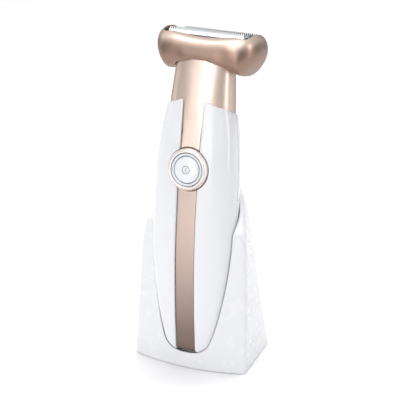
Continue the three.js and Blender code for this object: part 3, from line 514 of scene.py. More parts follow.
SOCKET_LIFT = 6  # how far the head rises before its socket leaves the neck
SOCKET_TOP = 10
MOUTH_HALF, MOUTH_HALF_DEPTH, MOUTH_CORNER, MOUTH_FLOOR = 24, 11.8, 4.2, 11.2


def head_frame(x, y, z):
    """The hollow head, open above for the foil unit and below for the neck."""
    form = head_form(x, y, z)
    shell = without(form, form + HEAD_WALL, HIDDEN_EDGE)
    mouth = rounded_rectangle(x, y - HEAD_MID_Y, MOUTH_HALF, MOUTH_HALF_DEPTH, MOUTH_CORNER)
    mouth = np.maximum(mouth, MOUTH_FLOOR - z)
    in_y = y * math.cos(HEAD_TILT) + z * math.sin(HEAD_TILT) + HEAD_IN_HANDLE[1]
    in_t = z * math.cos(HEAD_TILT) - y * math.sin(HEAD_TILT) + HEAD_IN_HANDLE[2]
    space = np.minimum(neck(x, in_y, in_t) - 0.4, neck(x, in_y, in_t + SOCKET_LIFT) - 0.1)
    socket = np.maximum(space, z - SOCKET_TOP)
    return without(without(shell, mouth, 0.4), socket, 0.7)


# ---------------------------------------------------------------- stand

stand_front_half = spline([[0, 32.6], [25, 32.2], [50, 31.1], [74, 29.4], [88, 26], [98, 20.5], [104, 15]])
stand_rear_half = spline([[0, 28.6], [25, 26.8], [50, 25], [74, 23.3], [88, 21], [98, 17], [104, 12.5]])
stand_front_y = spline([[0, -19.8], [50, -15.9], [74, -14.1], [98, -12], [104, -11.4]])
stand_rear_y = spline([[0, 25.6], [25, 20], [50, 14.8], [74, 11], [88, 9.3], [98, 8.7], [104, 8.5]])
stand_rim = spline([[-30, 73.6], [-22, 73.6], [-15, 74.8], [-8, 80.4], [0, 87.5], [4, 92.5], [7, 97],
                    [10, 100.5], [14, 102.5]])
RIM_TILT = 0.4  # the rim rises inwards, towards the handle
RIM_OUTSIDE = 29
RIM_ROUNDING = 1.8
STAND_TOP, TOP_CROWN = 100.5, 0.008
FRONT_BOW, BOW_LOSS = 5.7, 0.03  # at the foot, and how much less for each millimetre up
REAR_BOW = 2.4
STAND_WALL = 2.2
STAND_FOOT = 0.25
FOOT_EDGE = 0.6
FRONT_CORNER, REAR_CORNER = 2.6, 3.4
NEST_GAP = 0.45
NEST_WIDEST = 90
COVER_TRAVEL = 3
BOSSES = [(-20, -9), (20, -9), (-15, 14), (15, 14)]
BOSS_RADIUS, BOSS_FOOT = 3.6, 4.2
SCREW_HOLE, SCREW_DEPTH = 1.5, 16
HANDLE_TURN = np.array(HANDLE.inverted())


def in_handle(x, y, z):
    """A point of the stand's frame in the handle's."""
    return [HANDLE_TURN[k, 0] * x + HANDLE_TURN[k, 1] * y + HANDLE_TURN[k, 2] * z + HANDLE_TURN[k, 3]
            for k in range(3)]


def stand_form(x, y, z):
    """The stand's outer form: a wedge with bowed faces under a sloping rim."""
    front_half, rear_half = stand_front_half(z), stand_rear_half(z)
    y0, y1 = stand_front_y(z), stand_rear_y(z)
    bow = FRONT_BOW - BOW_LOSS * z
    bow_slope = 2 * bow * x / front_half ** 2
    front = (y0 - bow * (1 - (x / front_half) ** 2) - y) / np.sqrt(1 + bow_slope ** 2)
    flank = np.abs(x) - (front_half + (rear_half - front_half) * (y - y0) / (y1 - REAR_BOW - y0))
    rear = y - (y1 - REAR_BOW * (x / rear_half) ** 2)
    rim_slope = stand_rim(y + 0.5) - stand_rim(y - 0.5)
    rim = z - stand_rim(y) - RIM_TILT * (RIM_OUTSIDE - np.sqrt(x * x + 1))
    rim = both(rim / np.sqrt(1 + rim_slope ** 2 + RIM_TILT ** 2), z - STAND_TOP + TOP_CROWN * x * x, 6)
    walls = both(both(front, flank, FRONT_CORNER), rear, REAR_CORNER)
    return both(both(walls, rim, RIM_ROUNDING), STAND_FOOT - z, FOOT_EDGE)


def nest(x, y, z):
    """The space that the shaver lifts out of, clear too for the battery cover's slide."""
    hx, hy, t = in_handle(x, y, z)
    fixed = np.maximum(body(hx, hy, np.minimum(t, NEST_WIDEST)), -t)
    slid = np.maximum(body(hx, hy, np.clip(t + COVER_TRAVEL, 0, NEST_WIDEST)), -t - COVER_TRAVEL)
    return np.minimum(fixed, np.maximum(slid, -hy)) - NEST_GAP


def rim_inset(x, y, z):
    """Inside the stand's walls near its foot, where the hollow is open underneath."""
    return both(stand_form(x, y, np.full_like(z, STAND_FOOT + STAND_WALL + 1.0)), z - 60, 0.1) + STAND_WALL


def stand_shell(x, y, z):
    """The hollow stand, with a boss for each screw of its base."""
    form, hold = stand_form(x, y, z), nest(x, y, z)
    hollow = np.maximum(form + STAND_WALL, STAND_WALL - hold)
    hollow = np.where(z < STAND_FOOT + STAND_WALL, np.maximum(hollow - 50, rim_inset(x, y, z)), hollow)
    shell = without(form, hollow, 0.4)
    for bx, by in BOSSES:
        away = np.hypot(x - bx, y - by)
        boss = np.maximum(away - BOSS_RADIUS, BOSS_FOOT - z)
        boss = np.maximum(np.maximum(boss, form + 1), 1 - hold)
        shell = np.minimum(shell, boss)
        shell = np.maximum(shell, -np.maximum(away - SCREW_HOLE, z - SCREW_DEPTH))
    return without(shell, hold, 0.6)


# ---------------------------------------------------------------- small shapes from outlines

ARC = 6  # steps round a rounded corner
TURN_SIDES = 96
BEVEL_STEPS, BEVEL_FROM = 2, math.radians(40)  # edges flatter than this stay as they are


def rounded_path(corners, closed=True):
    """Points along an outline of [a, b, corner radius], with each corner rounded."""
    path = []
    for i, (a, b, radius) in enumerate(corners):
        here = Vector((a, b))
        before = Vector(corners[i - 1][:2]) - here
        after = Vector(corners[(i + 1) % len(corners)][:2]) - here
        if radius == 0 or (not closed and i in (0, len(corners) - 1)):
            path.append(here)
            continue
        start = here + before.normalized() * min(radius, before.length / 2)
        end = here + after.normalized() * min(radius, after.length / 2)
        for t in np.linspace(0, 1, ARC + 1):
            path.append(start * (1 - t) ** 2 + here * 2 * t * (1 - t) + end * t * t)
    return path


def face_outwards(obj):
    shape = bmesh.new()
    shape.from_mesh(obj.data)
    bmesh.ops.recalc_face_normals(shape, faces=shape.faces)
    shape.to_mesh(obj.data)
    shape.free()


def turned(name, corners, place, closed=True):
    """A [radius, height, corner radius] profile turned about Z."""
    points, rows = [], []
    for r, z in rounded_path(corners, closed):
        if r < 1e-6:
            rows.append([len(points)] * TURN_SIDES)
            points.append((0, 0, z))
            continue
        rows.append(list(range(len(points), len(points) + TURN_SIDES)))
        for k in range(TURN_SIDES):
            a = 2 * math.pi * k / TURN_SIDES
            points.append((r * math.cos(a), r * math.sin(a), z))
    faces = []
    for i in range(len(rows) if closed else len(rows) - 1):
        low, high = rows[i], rows[(i + 1) % len(rows)]
        for k in range(TURN_SIDES):
            quad = [low[k], low[(k + 1) % TURN_SIDES], high[(k + 1) % TURN_SIDES], high[k]]
            ring = list(dict.fromkeys(quad))
            if len(ring) > 2:
                faces.append(ring)
    obj = new_object(name, np.array(points, float), faces, place)
    face_outwards(obj)
    return obj


def swept_rows(name, rows, place, smooth=False):
    """Closed rings of points, all of one length, joined into a body with capped ends."""
    n = len(rows[0])
    points = np.array([p for row in rows for p in row], float)
    faces = [[r * n + k, r * n + (k + 1) % n, (r + 1) * n + (k + 1) % n, (r + 1) * n + k]
             for r in range(len(rows) - 1) for k in range(n)]
    faces.append(list(range(n)))
    faces.append(list(range((len(rows) - 1) * n, len(rows) * n)))
    obj = new_object(name, points, faces, place, smooth)
    face_outwards(obj)
    return obj


def bevel(obj, width):
    modifier = obj.modifiers.new("bevel", "BEVEL")
    modifier.width = width * MM
    modifier.segments = BEVEL_STEPS
    modifier.limit_method = "ANGLE"
    modifier.angle_limit = BEVEL_FROM
    modifier.harden_normals = False
    return obj


# ---------------------------------------------------------------- head: cutting parts

FOIL_LENGTH = 41.6
FOIL_RADIUS = 3.95
FOIL_SPRING_LINE = 17.3
FOIL_FOOT = 17.0
FOIL_THICK = 0.12
CASSETTE_TOP = 18.7  # of its ledge, which the combs stand on
SHOULDER_TOP, SHOULDER_STEEPNESS = 20.2, 1.5
SHOULDER_HALF, SHOULDER_HALF_DEPTH = 22.6, 10.4  # of its flat top, inside the slopes
CASSETTE_HALF, CASSETTE_HALF_DEPTH, CASSETTE_CORNER, CASSETTE_FOOT = 23.6, 11.4, 3.6, 12.4
WELL_HALF, WELL_HALF_DEPTH, LEDGE_HALF, LEDGE_HALF_DEPTH, WELL_CORNER = 21.1, 9, 21.2, 10.4, 0.6
SEAT_AT, SEAT_HALF, SEAT_HALF_DEPTH, SEAT_HEIGHT, SEAT_HALF_THICK = 19.2, 2.8, 3, 14.55, 0.35
COMB_TEETH = 37
COMB_TIP, COMB_THICK = 21.9, 0.6
BLADE_TEETH = 34
BLADE_TIP, BLADE_THICK, BLADE_INSET = 21.6, 0.5, 0.9
BLADE_ROW = BLADE_TEETH * FOIL_LENGTH / COMB_TEETH  # the same pitch as the comb's
COMB_OUT, COMB_LEAN = 10.1, 1.5  # how far out a comb stands at its foot, and how far it leans in
FOIL_SPREAD = 1.6  # width of the foil's arch against its rise
TOOTH_DEPTH = 1.7
CUTTER_LENGTH = 39.4
CUTTER_FOOT, SPINE_FOOT, SPINE_TOP, SPINE_HALF = 17.1, 16.95, 18.6, 1.6


def foil_cassette_field(x, y, z):
    """The floating frame: a rim with sloped shoulders, a ledge for the combs and a seat for each spring."""
    v, rise = y - HEAD_MID_Y, z - SHOULDER_TOP
    length = math.hypot(SHOULDER_STEEPNESS, 1)
    across = ((np.abs(v) - SHOULDER_HALF_DEPTH) * SHOULDER_STEEPNESS + rise) / length
    along = ((np.abs(x) - SHOULDER_HALF) * SHOULDER_STEEPNESS + rise) / length
    upper = both(both(across, along, 0.5), rise, 0.4)
    rim = both(rounded_rectangle(x, v, CASSETTE_HALF, CASSETTE_HALF_DEPTH, CASSETTE_CORNER), upper, 0.4)
    rim = both(rim, CASSETTE_FOOT - z, 0.4)
    rim = without(rim, rounded_rectangle(x, v, WELL_HALF, WELL_HALF_DEPTH, WELL_CORNER), 0.3)
    ledge = rounded_rectangle(x, v, LEDGE_HALF, LEDGE_HALF_DEPTH, WELL_CORNER)
    ledge = np.maximum(ledge, CASSETTE_TOP - z)
    seat = np.maximum(np.abs(np.abs(x) - SEAT_AT) - SEAT_HALF, np.abs(v) - SEAT_HALF_DEPTH)
    seat = np.maximum(seat, np.abs(z - SEAT_HEIGHT) - SEAT_HALF_THICK)
    return np.minimum(without(rim, ledge, 0.2), seat)


def toothed_plate(name, side, inset, length, thick, tip, teeth):
    """A row of tapered teeth on a plate that slopes inwards as it rises."""
    foot, pitch = CASSETTE_TOP + 0.3, length / teeth
    gum = tip - TOOTH_DEPTH
    profile = [(0, gum), (0.2, gum), (0.28, gum + 0.45), (0.35, tip - 0.25), (0.43, tip),
               (0.57, tip), (0.65, tip - 0.25), (0.72, gum + 0.45), (0.8, gum)]
    stations = [((i + u) * pitch - length / 2, h) for i in range(teeth) for u, h in profile]
    stations.append((length / 2, gum))
    slope = COMB_LEAN / (tip - foot)
    rows = []
    for x, top in stations:
        ring = []
        for height, depth in ((foot, 0), (top, 0), (top, thick), (foot, thick)):
            y = COMB_OUT - inset - slope * (height - foot) - depth
            ring.append((x, HEAD_MID_Y + side * y, height))
        rows.append(ring)
    return swept_rows(name, rows, HEAD)


def arch_point(radius, share):
    """A point of the foil's section: up one leg, over the arch and down the other, share 0 to 1."""
    leg = FOIL_SPRING_LINE - FOIL_FOOT
    total = 2 * leg + math.pi * radius
    run = share * total
    half = FOIL_SPREAD * radius
    if run < leg:
        return HEAD_MID_Y - half, FOIL_FOOT + run
    if run > total - leg:
        return HEAD_MID_Y + half, FOIL_FOOT + total - run
    a = math.pi - (run - leg) / radius
    return HEAD_MID_Y + half * math.cos(a), FOIL_SPRING_LINE + radius * math.sin(a)


def shaving_foil():
    """A thin perforated sheet over the arch: each cell is a square with an eight-sided hole."""
    columns, rows, margin = 64, 18, 2
    stagger, hole_radius, hole_squash = 0.12, 0.3, 0.85  # as shares of a cell
    radius = FOIL_RADIUS - 0.02
    points, faces, index = [], [], {}

    def vertex(u, v):
        key = (round(u * 1000), round(v * 1000))
        if key not in index:
            index[key] = len(points)
            y, z = arch_point(radius, v / rows)
            points.append(((u / columns - 0.5) * FOIL_LENGTH, y, z))
        return index[key]

    compass = [(-1, -1), (0, -1), (1, -1), (1, 0), (1, 1), (0, 1), (-1, 1), (-1, 0)]
    for i in range(columns):
        for j in range(rows):
            outer = [vertex(i + 0.5 + dx / 2, j + 0.5 + dy / 2) for dx, dy in compass]
            if min(j, rows - 1 - j) < margin or min(i, columns - 1 - i) < 1:
                faces.append(outer)
                continue
            shift = stagger if i % 2 else -stagger
            inner = []
            for dx, dy in compass:
                reach = hole_radius / math.hypot(dx, dy)
                inner.append(vertex(i + 0.5 + dx * reach, j + 0.5 + shift + dy * reach * hole_squash))
            faces += [[outer[k], outer[(k + 1) % 8], inner[(k + 1) % 8], inner[k]] for k in range(8)]
    obj = new_object("foil_mesh", np.array(points), faces, HEAD)
    thick = obj.modifiers.new("thickness", "SOLIDIFY")
    thick.thickness = FOIL_THICK * MM
    thick.offset = -1 if obj.data.polygons[0].normal.y < 0 else 1
    return obj


def inner_cutter():
    """Arched lamellae on a spine, close under the foil."""
    radius, count, thick, half = FOIL_RADIUS - 0.55, 27, 0.35, CUTTER_LENGTH / 2
    pitch = (2 * half - thick) / (count - 1)
    sides = 20
    ring = [(HEAD_MID_Y - FOIL_SPREAD * radius, CUTTER_FOOT)]
    ring += [(HEAD_MID_Y + FOIL_SPREAD * radius * math.cos(a), FOIL_SPRING_LINE + radius * math.sin(a))
             for a in np.linspace(math.pi, 0, sides + 1)]
    ring += [(HEAD_MID_Y + FOIL_SPREAD * radius, CUTTER_FOOT)]
    points, faces = [], []
    for i in range(count):
        x, base, n = -half + i * pitch, len(points), len(ring)
        points += [(x, y, z) for y, z in ring] + [(x + thick, y, z) for y, z in ring]
        faces += [[base + k, base + (k + 1) % n, base + n + (k + 1) % n, base + n + k] for k in range(n)]
        faces += [[base + k for k in range(n)], [base + n + k for k in range(n)]]
    base = len(points)
    front, rear = HEAD_MID_Y - SPINE_HALF, HEAD_MID_Y + SPINE_HALF
    spine = [(front, SPINE_FOOT), (rear, SPINE_FOOT), (rear, SPINE_TOP), (front, SPINE_TOP)]
    points += [(x, y, z) for x in (-half, half) for y, z in spine]
    faces += [[base + k, base + (k + 1) % 4, base + 4 + (k + 1) % 4, base + 4 + k] for k in range(4)]
    faces += [[base + k for k in range(4)], [base + 4 + k for k in range(4)]]
    obj = new_object("cutter_block", np.array(points, float), faces, HEAD, False)
    face_outwards(obj)
    return obj


# ---------------------------------------------------------------- power control

RING_TOP = BEZEL_PROUD - 0.4
BUTTON_TOP = RING_TOP + 0.8


def control_bezel():
    return turned("control_bezel", [
        [RING_RADIUS + 0.3, -4, 0.2], [BEZEL_RADIUS, -4, 0.2], [BEZEL_RADIUS, 1.1, 0.9],
        [BEZEL_RADIUS - 0.35, 2.2, 0.8], [BEZEL_RADIUS - 1.2, BEZEL_PROUD, 0.7],
        [RING_RADIUS + 0.3, BEZEL_PROUD - 0.2, 0.3]], CONTROL)


def control_ring():
    return turned("control_ring", [
        [BUTTON_RADIUS + 0.3, -4, 0.2], [RING_RADIUS, -4, 0.2], [RING_RADIUS, RING_TOP - 0.1, 0.3],
        [BUTTON_RADIUS + 1.3, RING_TOP + 0.2, 0.7], [BUTTON_RADIUS + 0.3, RING_TOP - 0.4, 0.25]], CONTROL)


def control_cap():
    return turned("control_cap", [
        [0, BUTTON_TOP, 0], [3.2, BUTTON_TOP - 0.12, 1.4], [5.2, BUTTON_TOP - 0.5, 0.8],
        [BUTTON_RADIUS - 0.2, BUTTON_TOP - 0.95, 0.5], [BUTTON_RADIUS, BUTTON_TOP - 1.6, 0.4],
        [BUTTON_RADIUS, -1.2, 0.3], [1.6, -1.2, 0.2], [1.6, -2.2, 0.2], [0, -2.2, 0]], CONTROL, closed=False)


def control_mark():
    """Printed on-off mark: a ring with a bar in it."""
    radius, line, bar, low, high = 2.0, 0.17, 1.1, BUTTON_TOP - 0.4, BUTTON_TOP + 0.03
    mark = turned("control_mark", [
        [radius - line, low, 0], [radius + line, low, 0], [radius + line, high, 0.08],
        [radius - line, high, 0.08]], CONTROL)
    shape = bmesh.new()
    shape.from_mesh(mark.data)
    corners = [shape.verts.new(CONTROL @ Vector((x, y, z)) * MM)
               for z in (low, high) for x, y in ((-line, -bar), (line, -bar), (line, bar), (-line, bar))]
    for ring in ((0, 1, 2, 3), (4, 5, 6, 7), (0, 1, 5, 4), (1, 2, 6, 5), (2, 3, 7, 6), (3, 0, 4, 7)):
        shape.faces.new([corners[k] for k in ring])
    bmesh.ops.recalc_face_normals(shape, faces=shape.faces)
    shape.to_mesh(mark.data)
    shape.free()
    return mark


# ---------------------------------------------------------------- materials

SLOW_SHARE, FINE_SHARE = 0.6, 0.4  # of the slow and the fine noise in a colour's mottling
WEAR_STARTS = (0.52, 0.62)  # the pointiness over which an edge goes from plain to worn
PEEL_SCALE = 180


def map_range(nodes, link, value, low, high, at_low, at_high, smooth=False):
    """A value carried from one range to another, and held at its ends."""
    node = nodes.new("ShaderNodeMapRange")
    if smooth:
        node.interpolation_type = "SMOOTHSTEP"
    for socket, number in (("From Min", low), ("From Max", high), ("To Min", at_low), ("To Max", at_high)):
        node.inputs[socket].default_value = number
    link(value, node.inputs["Value"])
    return node.outputs[0]


def calc(nodes, link, operation, *values):
    """A Math node, whose values are numbers or sockets."""
    node = nodes.new("ShaderNodeMath")
    node.operation = operation
    for socket, value in zip(node.inputs, values):
        if isinstance(value, float):
            socket.default_value = value
        else:
            link(value, socket)
    return node


def material(name, dark, light, roughness, metallic=0.0, grain=600, speckle=6000, bump=0.004, peel=0.0,
             edge=0.0, under=None, foot=None, rim=None, **sockets):
    """Mottled colour and roughness, a fine grain and an optional slow unevenness in the surface.

    grain and speckle are cells per metre, bump and peel are millimetres, and edge is how much
    convex edges lighten where hands rub them. under and foot are (low, high, tint) of painted shade: the
    colour takes the darker tint where the surface faces down, or low on the object, and loses it from low
    to high. rim is the same painted shade for the surface turning away from the view, from 1 at its very edge to 0
    face on.
    """
    made = bpy.data.materials.new(name)
    made.use_nodes = True
    nodes, link = made.node_tree.nodes, made.node_tree.links.new
    shader = nodes["Principled BSDF"]
    place = nodes.new("ShaderNodeTexCoord").outputs["Object"]

    def noise(scale, detail):
        node = nodes.new("ShaderNodeTexNoise")
        node.inputs["Scale"].default_value = scale
        node.inputs["Detail"].default_value = detail
        link(place, node.inputs["Vector"])
        return node.outputs["Fac"]

    def height_of(vector):
        parts = nodes.new("ShaderNodeSeparateXYZ")
        link(vector, parts.inputs[0])
        return parts.outputs["Z"]

    def painted_shade(colour, value, low, high, tint):
        """Painted shade: the colour times a darker tint where the value is low, and the bare colour where it is
        high.
        """
        shaded = nodes.new("ShaderNodeMix")
        shaded.data_type = "RGBA"
        shaded.blend_type = "MULTIPLY"
        link(map_range(nodes, link, value, low, high, 1.0, 0.0, smooth=True), shaded.inputs["Factor"])
        link(colour, shaded.inputs["A"])
        shaded.inputs["B"].default_value = (*tint, 1)
        return shaded.outputs["Result"]

    def raised(height, distance):
        node = nodes.new("ShaderNodeBump")
        node.inputs["Distance"].default_value = distance * MM
        link(height, node.inputs["Height"])
        return node

    slow, fine = noise(grain, 3), noise(speckle, 2)
    fine_part = calc(nodes, link, "MULTIPLY", fine, FINE_SHARE).outputs[0]
    amount = calc(nodes, link, "MULTIPLY_ADD", slow, SLOW_SHARE, fine_part).outputs[0]
    if edge:
        pointed = nodes.new("ShaderNodeNewGeometry").outputs["Pointiness"]
        worn = map_range(nodes, link, pointed, *WEAR_STARTS, 0.0, edge)
        added = calc(nodes, link, "ADD", amount, worn)
        added.use_clamp = True
        amount = added.outputs[0]
    blend = nodes.new("ShaderNodeMix")
    blend.data_type = "RGBA"
    blend.inputs["A"].default_value = (*dark, 1)
    blend.inputs["B"].default_value = (*light, 1)
    link(amount, blend.inputs["Factor"])
    colour = blend.outputs["Result"]
    # Painted shade: the colour darkens where the surface faces down.
    if under:
        facing = nodes.new("ShaderNodeNewGeometry").outputs["Normal"]
        colour = painted_shade(colour, height_of(facing), *under)
    # Painted shade: the colour darkens towards the edges that turn away from the view.
    if rim:
        turned_away = nodes.new("ShaderNodeLayerWeight").outputs["Facing"]
        colour = painted_shade(colour, turned_away, *rim)
    # Painted shade: the colour darkens low on the object, towards its foot.
    if foot:
        colour = painted_shade(colour, height_of(place), *foot)
    link(colour, shader.inputs["Base Color"])
    link(map_range(nodes, link, slow, 0.3, 0.7, *roughness), shader.inputs["Roughness"])
    surface = raised(fine, bump)
    if peel:
        link(raised(noise(PEEL_SCALE, 1), peel).outputs[0], surface.inputs["Normal"])
    link(surface.outputs[0], shader.inputs["Normal"])
    shader.inputs["Metallic"].default_value = metallic
    for socket, value in sockets.items():
        shader.inputs[socket.replace("_", " ")].default_value = value
    return made


LOOKS = {
    "cover": material("cover_white", (0.828, 0.833, 0.858), (0.842, 0.847, 0.872), (0.17, 0.21), grain=150,
                      bump=0.0006, peel=0.012, Coat_Weight=0.25, Coat_Roughness=0.06),
    "stand": material("stand_white", (0.826, 0.831, 0.857), (0.834, 0.839, 0.865), (0.26, 0.28), grain=150,
                      bump=0.0003, peel=0.001, Coat_Weight=0.1, Coat_Roughness=0.15),
    # Rose gold with painted shade: darker where it faces down and towards the edges that turn away from the view.
    "rose": material("rose_gold", (0.86, 0.685, 0.59), (0.90, 0.72, 0.625), (0.36, 0.41), 0.9, grain=300,
                     speckle=3000, bump=0.0005, edge=0.15, under=(-0.12, 0.2, (0.5, 0.44, 0.41)),
                     rim=(0.9, 0.4, (0.4, 0.33, 0.29))),
    # The head's copy of the rose gold, with stronger painted shade on its underside and painted shade at its
    # edges.
    "rose_head": material("rose_gold_head", (0.84, 0.67, 0.575), (0.88, 0.705, 0.61), (0.36, 0.41), 0.9,
                          grain=300, speckle=3000, bump=0.0005, edge=0.15,
                          under=(0.1, 0.6, (0.36, 0.30, 0.27)), rim=(0.95, 0.55, (0.6, 0.53, 0.49))),
    # A darker copy of the rose gold that paints shade on the sunken lower strip, with painted shade growing darker
    # towards its foot.
    "strip": material("rose_gold_strip_painted_shade", (0.62, 0.48, 0.42), (0.66, 0.52, 0.455), (0.30, 0.35), 0.9,
                      grain=300, speckle=3000, bump=0.0005, foot=(0.0, 0.095, (0.28, 0.25, 0.235)),
                      Coat_Weight=0.2, Coat_Roughness=0.1),
    # Painted shade and reflection: the bezel's downward faces take a darker rose tint.
    "pearl": material("rose_pearl", (0.86, 0.80, 0.77), (0.90, 0.85, 0.82), (0.26, 0.32), 0.6, grain=300,
                      speckle=3000, bump=0.0003, under=(-0.5, 0.1, (0.72, 0.6, 0.52)),
                      Coat_Weight=0.4, Coat_Roughness=0.08),
    "clear": material("light_ring_clear", (0.86, 0.91, 0.96), (0.90, 0.94, 0.98), (0.08, 0.14), bump=0.001,
                      Transmission_Weight=0.12, IOR=1.49, Coat_Weight=0.5, Coat_Roughness=0.04),
    "button": material("button_white", (0.83, 0.85, 0.88), (0.88, 0.90, 0.93), (0.14, 0.2), bump=0.001,
                       Coat_Weight=0.4, Coat_Roughness=0.05),
    "print": material("mark_grey", (0.20, 0.21, 0.24), (0.28, 0.29, 0.32), (0.4, 0.5)),
    "steel": material("steel", (0.62, 0.64, 0.67), (0.78, 0.80, 0.83), (0.18, 0.3), 1.0, grain=1500,
                      edge=0.3),
    "foil": material("foil_steel", (0.70, 0.72, 0.75), (0.86, 0.88, 0.90), (0.14, 0.22), 1.0, grain=1500),
    "dark_steel": material("dark_steel", (0.03, 0.03, 0.033), (0.06, 0.06, 0.065), (0.25, 0.38), 1.0,
                           grain=1500, edge=0.5),
    "rubber": material("rubber", (0.018, 0.018, 0.02), (0.04, 0.04, 0.043), (0.7, 0.9), bump=0.02,
                       speckle=3500),
    "silicone": material("silicone", (0.55, 0.56, 0.58), (0.66, 0.67, 0.69), (0.55, 0.7), bump=0.01),
    "silver": material("silver_plastic", (0.66, 0.67, 0.69), (0.76, 0.77, 0.79), (0.25, 0.34), 0.6,
                       bump=0.001),
    "grey": material("grey_plastic", (0.25, 0.26, 0.27), (0.33, 0.34, 0.35), (0.4, 0.52), bump=0.008,
                     speckle=4000),
    "board": material("circuit_board", (0.015, 0.09, 0.035), (0.03, 0.15, 0.06), (0.3, 0.45), grain=2500,
                      bump=0.006),
    "contact": material("contact_metal", (0.62, 0.47, 0.22), (0.78, 0.61, 0.32), (0.2, 0.34), 1.0),
    "cell": material("cell_sleeve", (0.04, 0.075, 0.11), (0.07, 0.11, 0.15), (0.25, 0.35), grain=300),
    "copper": material("copper", (0.55, 0.22, 0.10), (0.75, 0.34, 0.16), (0.25, 0.4), 1.0, grain=2500,
                       bump=0.01),
}


# ---------------------------------------------------------------- pieces

def handle_solid(name, field, low, high, pitch=0.5):
    return solid(name, field, low, high, pitch, HANDLE)


def make_handle():
    white, rose = LOOKS["cover"], LOOKS["rose"]
    finish_piece(handle_solid("cover_front", front_cover, (-23, -15, 0), (23, 0, 139)),
                 "handle", "white_plastic", white, "front_cover")
    finish_piece(handle_solid("cover_rear", rear_cover, (-23, 0, 86), (23, 15, 136)),
                 "handle", "white_plastic", white, "rear_cover")
    finish_piece(handle_solid("cover_battery", battery_cover, (-23, 0, 0), (23, 15, 87)),
                 "battery_cover", "white_plastic", white, "battery_cover")
    finish_piece(handle_solid("neck", neck_housing, (-18, -15, 101), (18, 16, 163), 0.42),
                 "handle", "rose_gold", rose, "neck_housing")
    finish_piece(handle_solid("strip_lower", lower_strip, (-6, -15, 0), (6, 0, 100), 0.3),
                 "handle", "rose_gold", LOOKS["strip"], "lower_strip")
    finish_piece(handle_solid("head_release", release_button, (-7, 10, 140), (7, 17, 150), 0.25),
                 "release_button", "rose_gold", rose, "release_button")
    finish_piece(control_bezel(), "handle", "rose_gold", LOOKS["pearl"], "button_bezel")
    finish_piece(control_ring(), "handle", "clear_plastic", LOOKS["clear"], "light_ring")
    finish_piece(control_cap(), "power_button", "button_plastic", LOOKS["button"], "power_button")
    finish_piece(control_mark(), "power_button", "dark_steel", LOOKS["print"])


def make_head():
    finish_piece(solid("head_shell", head_frame, (-29, -13, 0), (29, 20, 24), 0.45, HEAD),
                 "head", "rose_gold", LOOKS["rose_head"], "head_frame")
    finish_piece(solid("cassette", foil_cassette_field, (-24, -4, 12), (24, 12, 21), 0.35, HEAD),
                 "foil_unit", "grey_plastic", LOOKS["silver"], "foil_cassette")
    finish_piece(shaving_foil(), "foil_unit", "steel", LOOKS["foil"], "shaving_foil")
    finish_piece(inner_cutter(), "cutter", "steel", LOOKS["steel"], "inner_cutter")
    for where, side in (("front", -1), ("rear", 1)):
        comb = toothed_plate(f"comb_{where}", side, 0, FOIL_LENGTH, COMB_THICK, COMB_TIP, COMB_TEETH)
        finish_piece(bevel(comb, 0.06), "foil_unit", "steel", LOOKS["foil"], f"trimmer_comb_{where}")
        blade = toothed_plate(f"blade_{where}", side, BLADE_INSET, BLADE_ROW,
                              BLADE_THICK, BLADE_TIP, BLADE_TEETH)
        finish_piece(bevel(blade, 0.05), "cutter", "dark_steel", LOOKS["dark_steel"],
                     f"trimmer_blade_{where}")


def make_stand():
    finish_piece(solid("stand_body", stand_shell, (-33, -26, 0), (33, 26, 103), 0.55, STAND),
                 "stand", "white_plastic", LOOKS["stand"], "stand_shell")


SLOT_LOOKS = {
    "white_plastic": "cover", "rose_gold": "rose", "clear_plastic": "clear", "button_plastic": "button",
    "steel": "steel", "dark_steel": "dark_steel", "rubber": "rubber", "silicone": "silicone",
    "grey_plastic": "grey", "circuit_board": "board", "contact_metal": "contact", "cell_sleeve": "cell",
    "copper": "copper",
}


def dress_frame_nodes():
    """The nodes kept from the frame: the insides, the screws and the foot."""
    for part in frame["record"]["subparts"]:
        obj = frame["nodes"][part["node"]]
        obj.data.materials.clear()
        obj.data.materials.append(LOOKS[SLOT_LOOKS[part["material_slot"]]])


# ---------------------------------------------------------------- floor and light

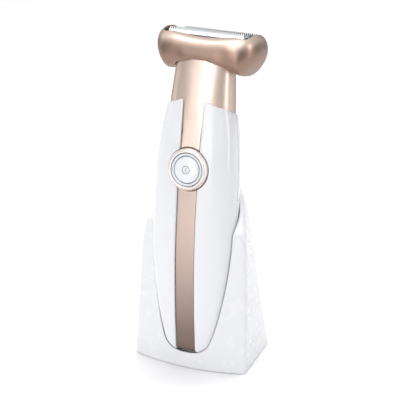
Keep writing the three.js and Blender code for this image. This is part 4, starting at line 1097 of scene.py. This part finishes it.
def make_floor():
    radius, sides = 3.0, 48
    mesh = bpy.data.meshes.new("floor")
    shape = bmesh.new()
    ring = [shape.verts.new((radius * math.cos(a), radius * math.sin(a), 0))
            for a in np.linspace(0, 2 * math.pi, sides, endpoint=False)]
    shape.faces.new(ring)
    shape.to_mesh(mesh)
    shape.free()
    floor = bpy.data.objects.new("floor", mesh)
    bpy.context.scene.collection.objects.link(floor)
    floor.data.materials.append(material("floor_white", (0.86, 0.86, 0.87), (0.90, 0.90, 0.91), (0.55, 0.65),
                                         grain=20, speckle=900, bump=0.002))


def area_light(name, place, aim, width, height, power):
    data = bpy.data.lights.new(name, "AREA")
    data.shape = "RECTANGLE"
    data.size, data.size_y = width, height
    data.energy = power
    lamp = bpy.data.objects.new(name, data)
    lamp.location = place
    lamp.rotation_euler = (Vector(place) - Vector(aim)).to_track_quat("Z", "Y").to_euler()
    bpy.context.scene.collection.objects.link(lamp)
    return lamp


def make_light():
    world = bpy.data.worlds.new("studio")
    bpy.context.scene.world = world
    world.use_nodes = True
    background = world.node_tree.nodes["Background"]
    background.inputs["Strength"].default_value = 1.0
    nodes, link = world.node_tree.nodes, world.node_tree.links.new
    direction = nodes.new("ShaderNodeTexCoord").outputs["Generated"]
    parts = nodes.new("ShaderNodeSeparateXYZ")
    link(direction, parts.inputs[0])
    # Dim below the floor's level, brighter overhead.
    glow = map_range(nodes, link, parts.outputs["Z"], -0.1, 0.8, 0.22, 0.6, smooth=True)
    link(glow, background.inputs["Color"])
    middle = (0, 0, 0.09)
    area_light("key", (-0.12, -1.05, 0.45), middle, 0.5, 0.9, 4.0)
    area_light("left_fill", (-0.95, -0.1, 0.4), middle, 0.4, 0.8, 0.5)
    overhead = area_light("overhead", (0, 0.33, 1.0), (0, 0.2, 0), 1.0, 0.9, 12.2)
    overhead.visible_glossy = False
    sheen = area_light("sheen", (-0.1, -0.35, 1.0), (0, 0, 0.12), 0.9, 0.7, 3.8)
    sheen.visible_diffuse = False
    glint = area_light("right_glint", (0.9, -0.02, 0.35), middle, 0.06, 0.7, 1.8)
    glint.visible_diffuse = False
    view = bpy.context.scene.view_settings
    view.view_transform = "Standard"
    view.look = "None"
    view.exposure = 0.0


# ---------------------------------------------------------------- everything

dress_frame_nodes()
make_stand()
make_handle()
make_head()
make_floor()
make_light()
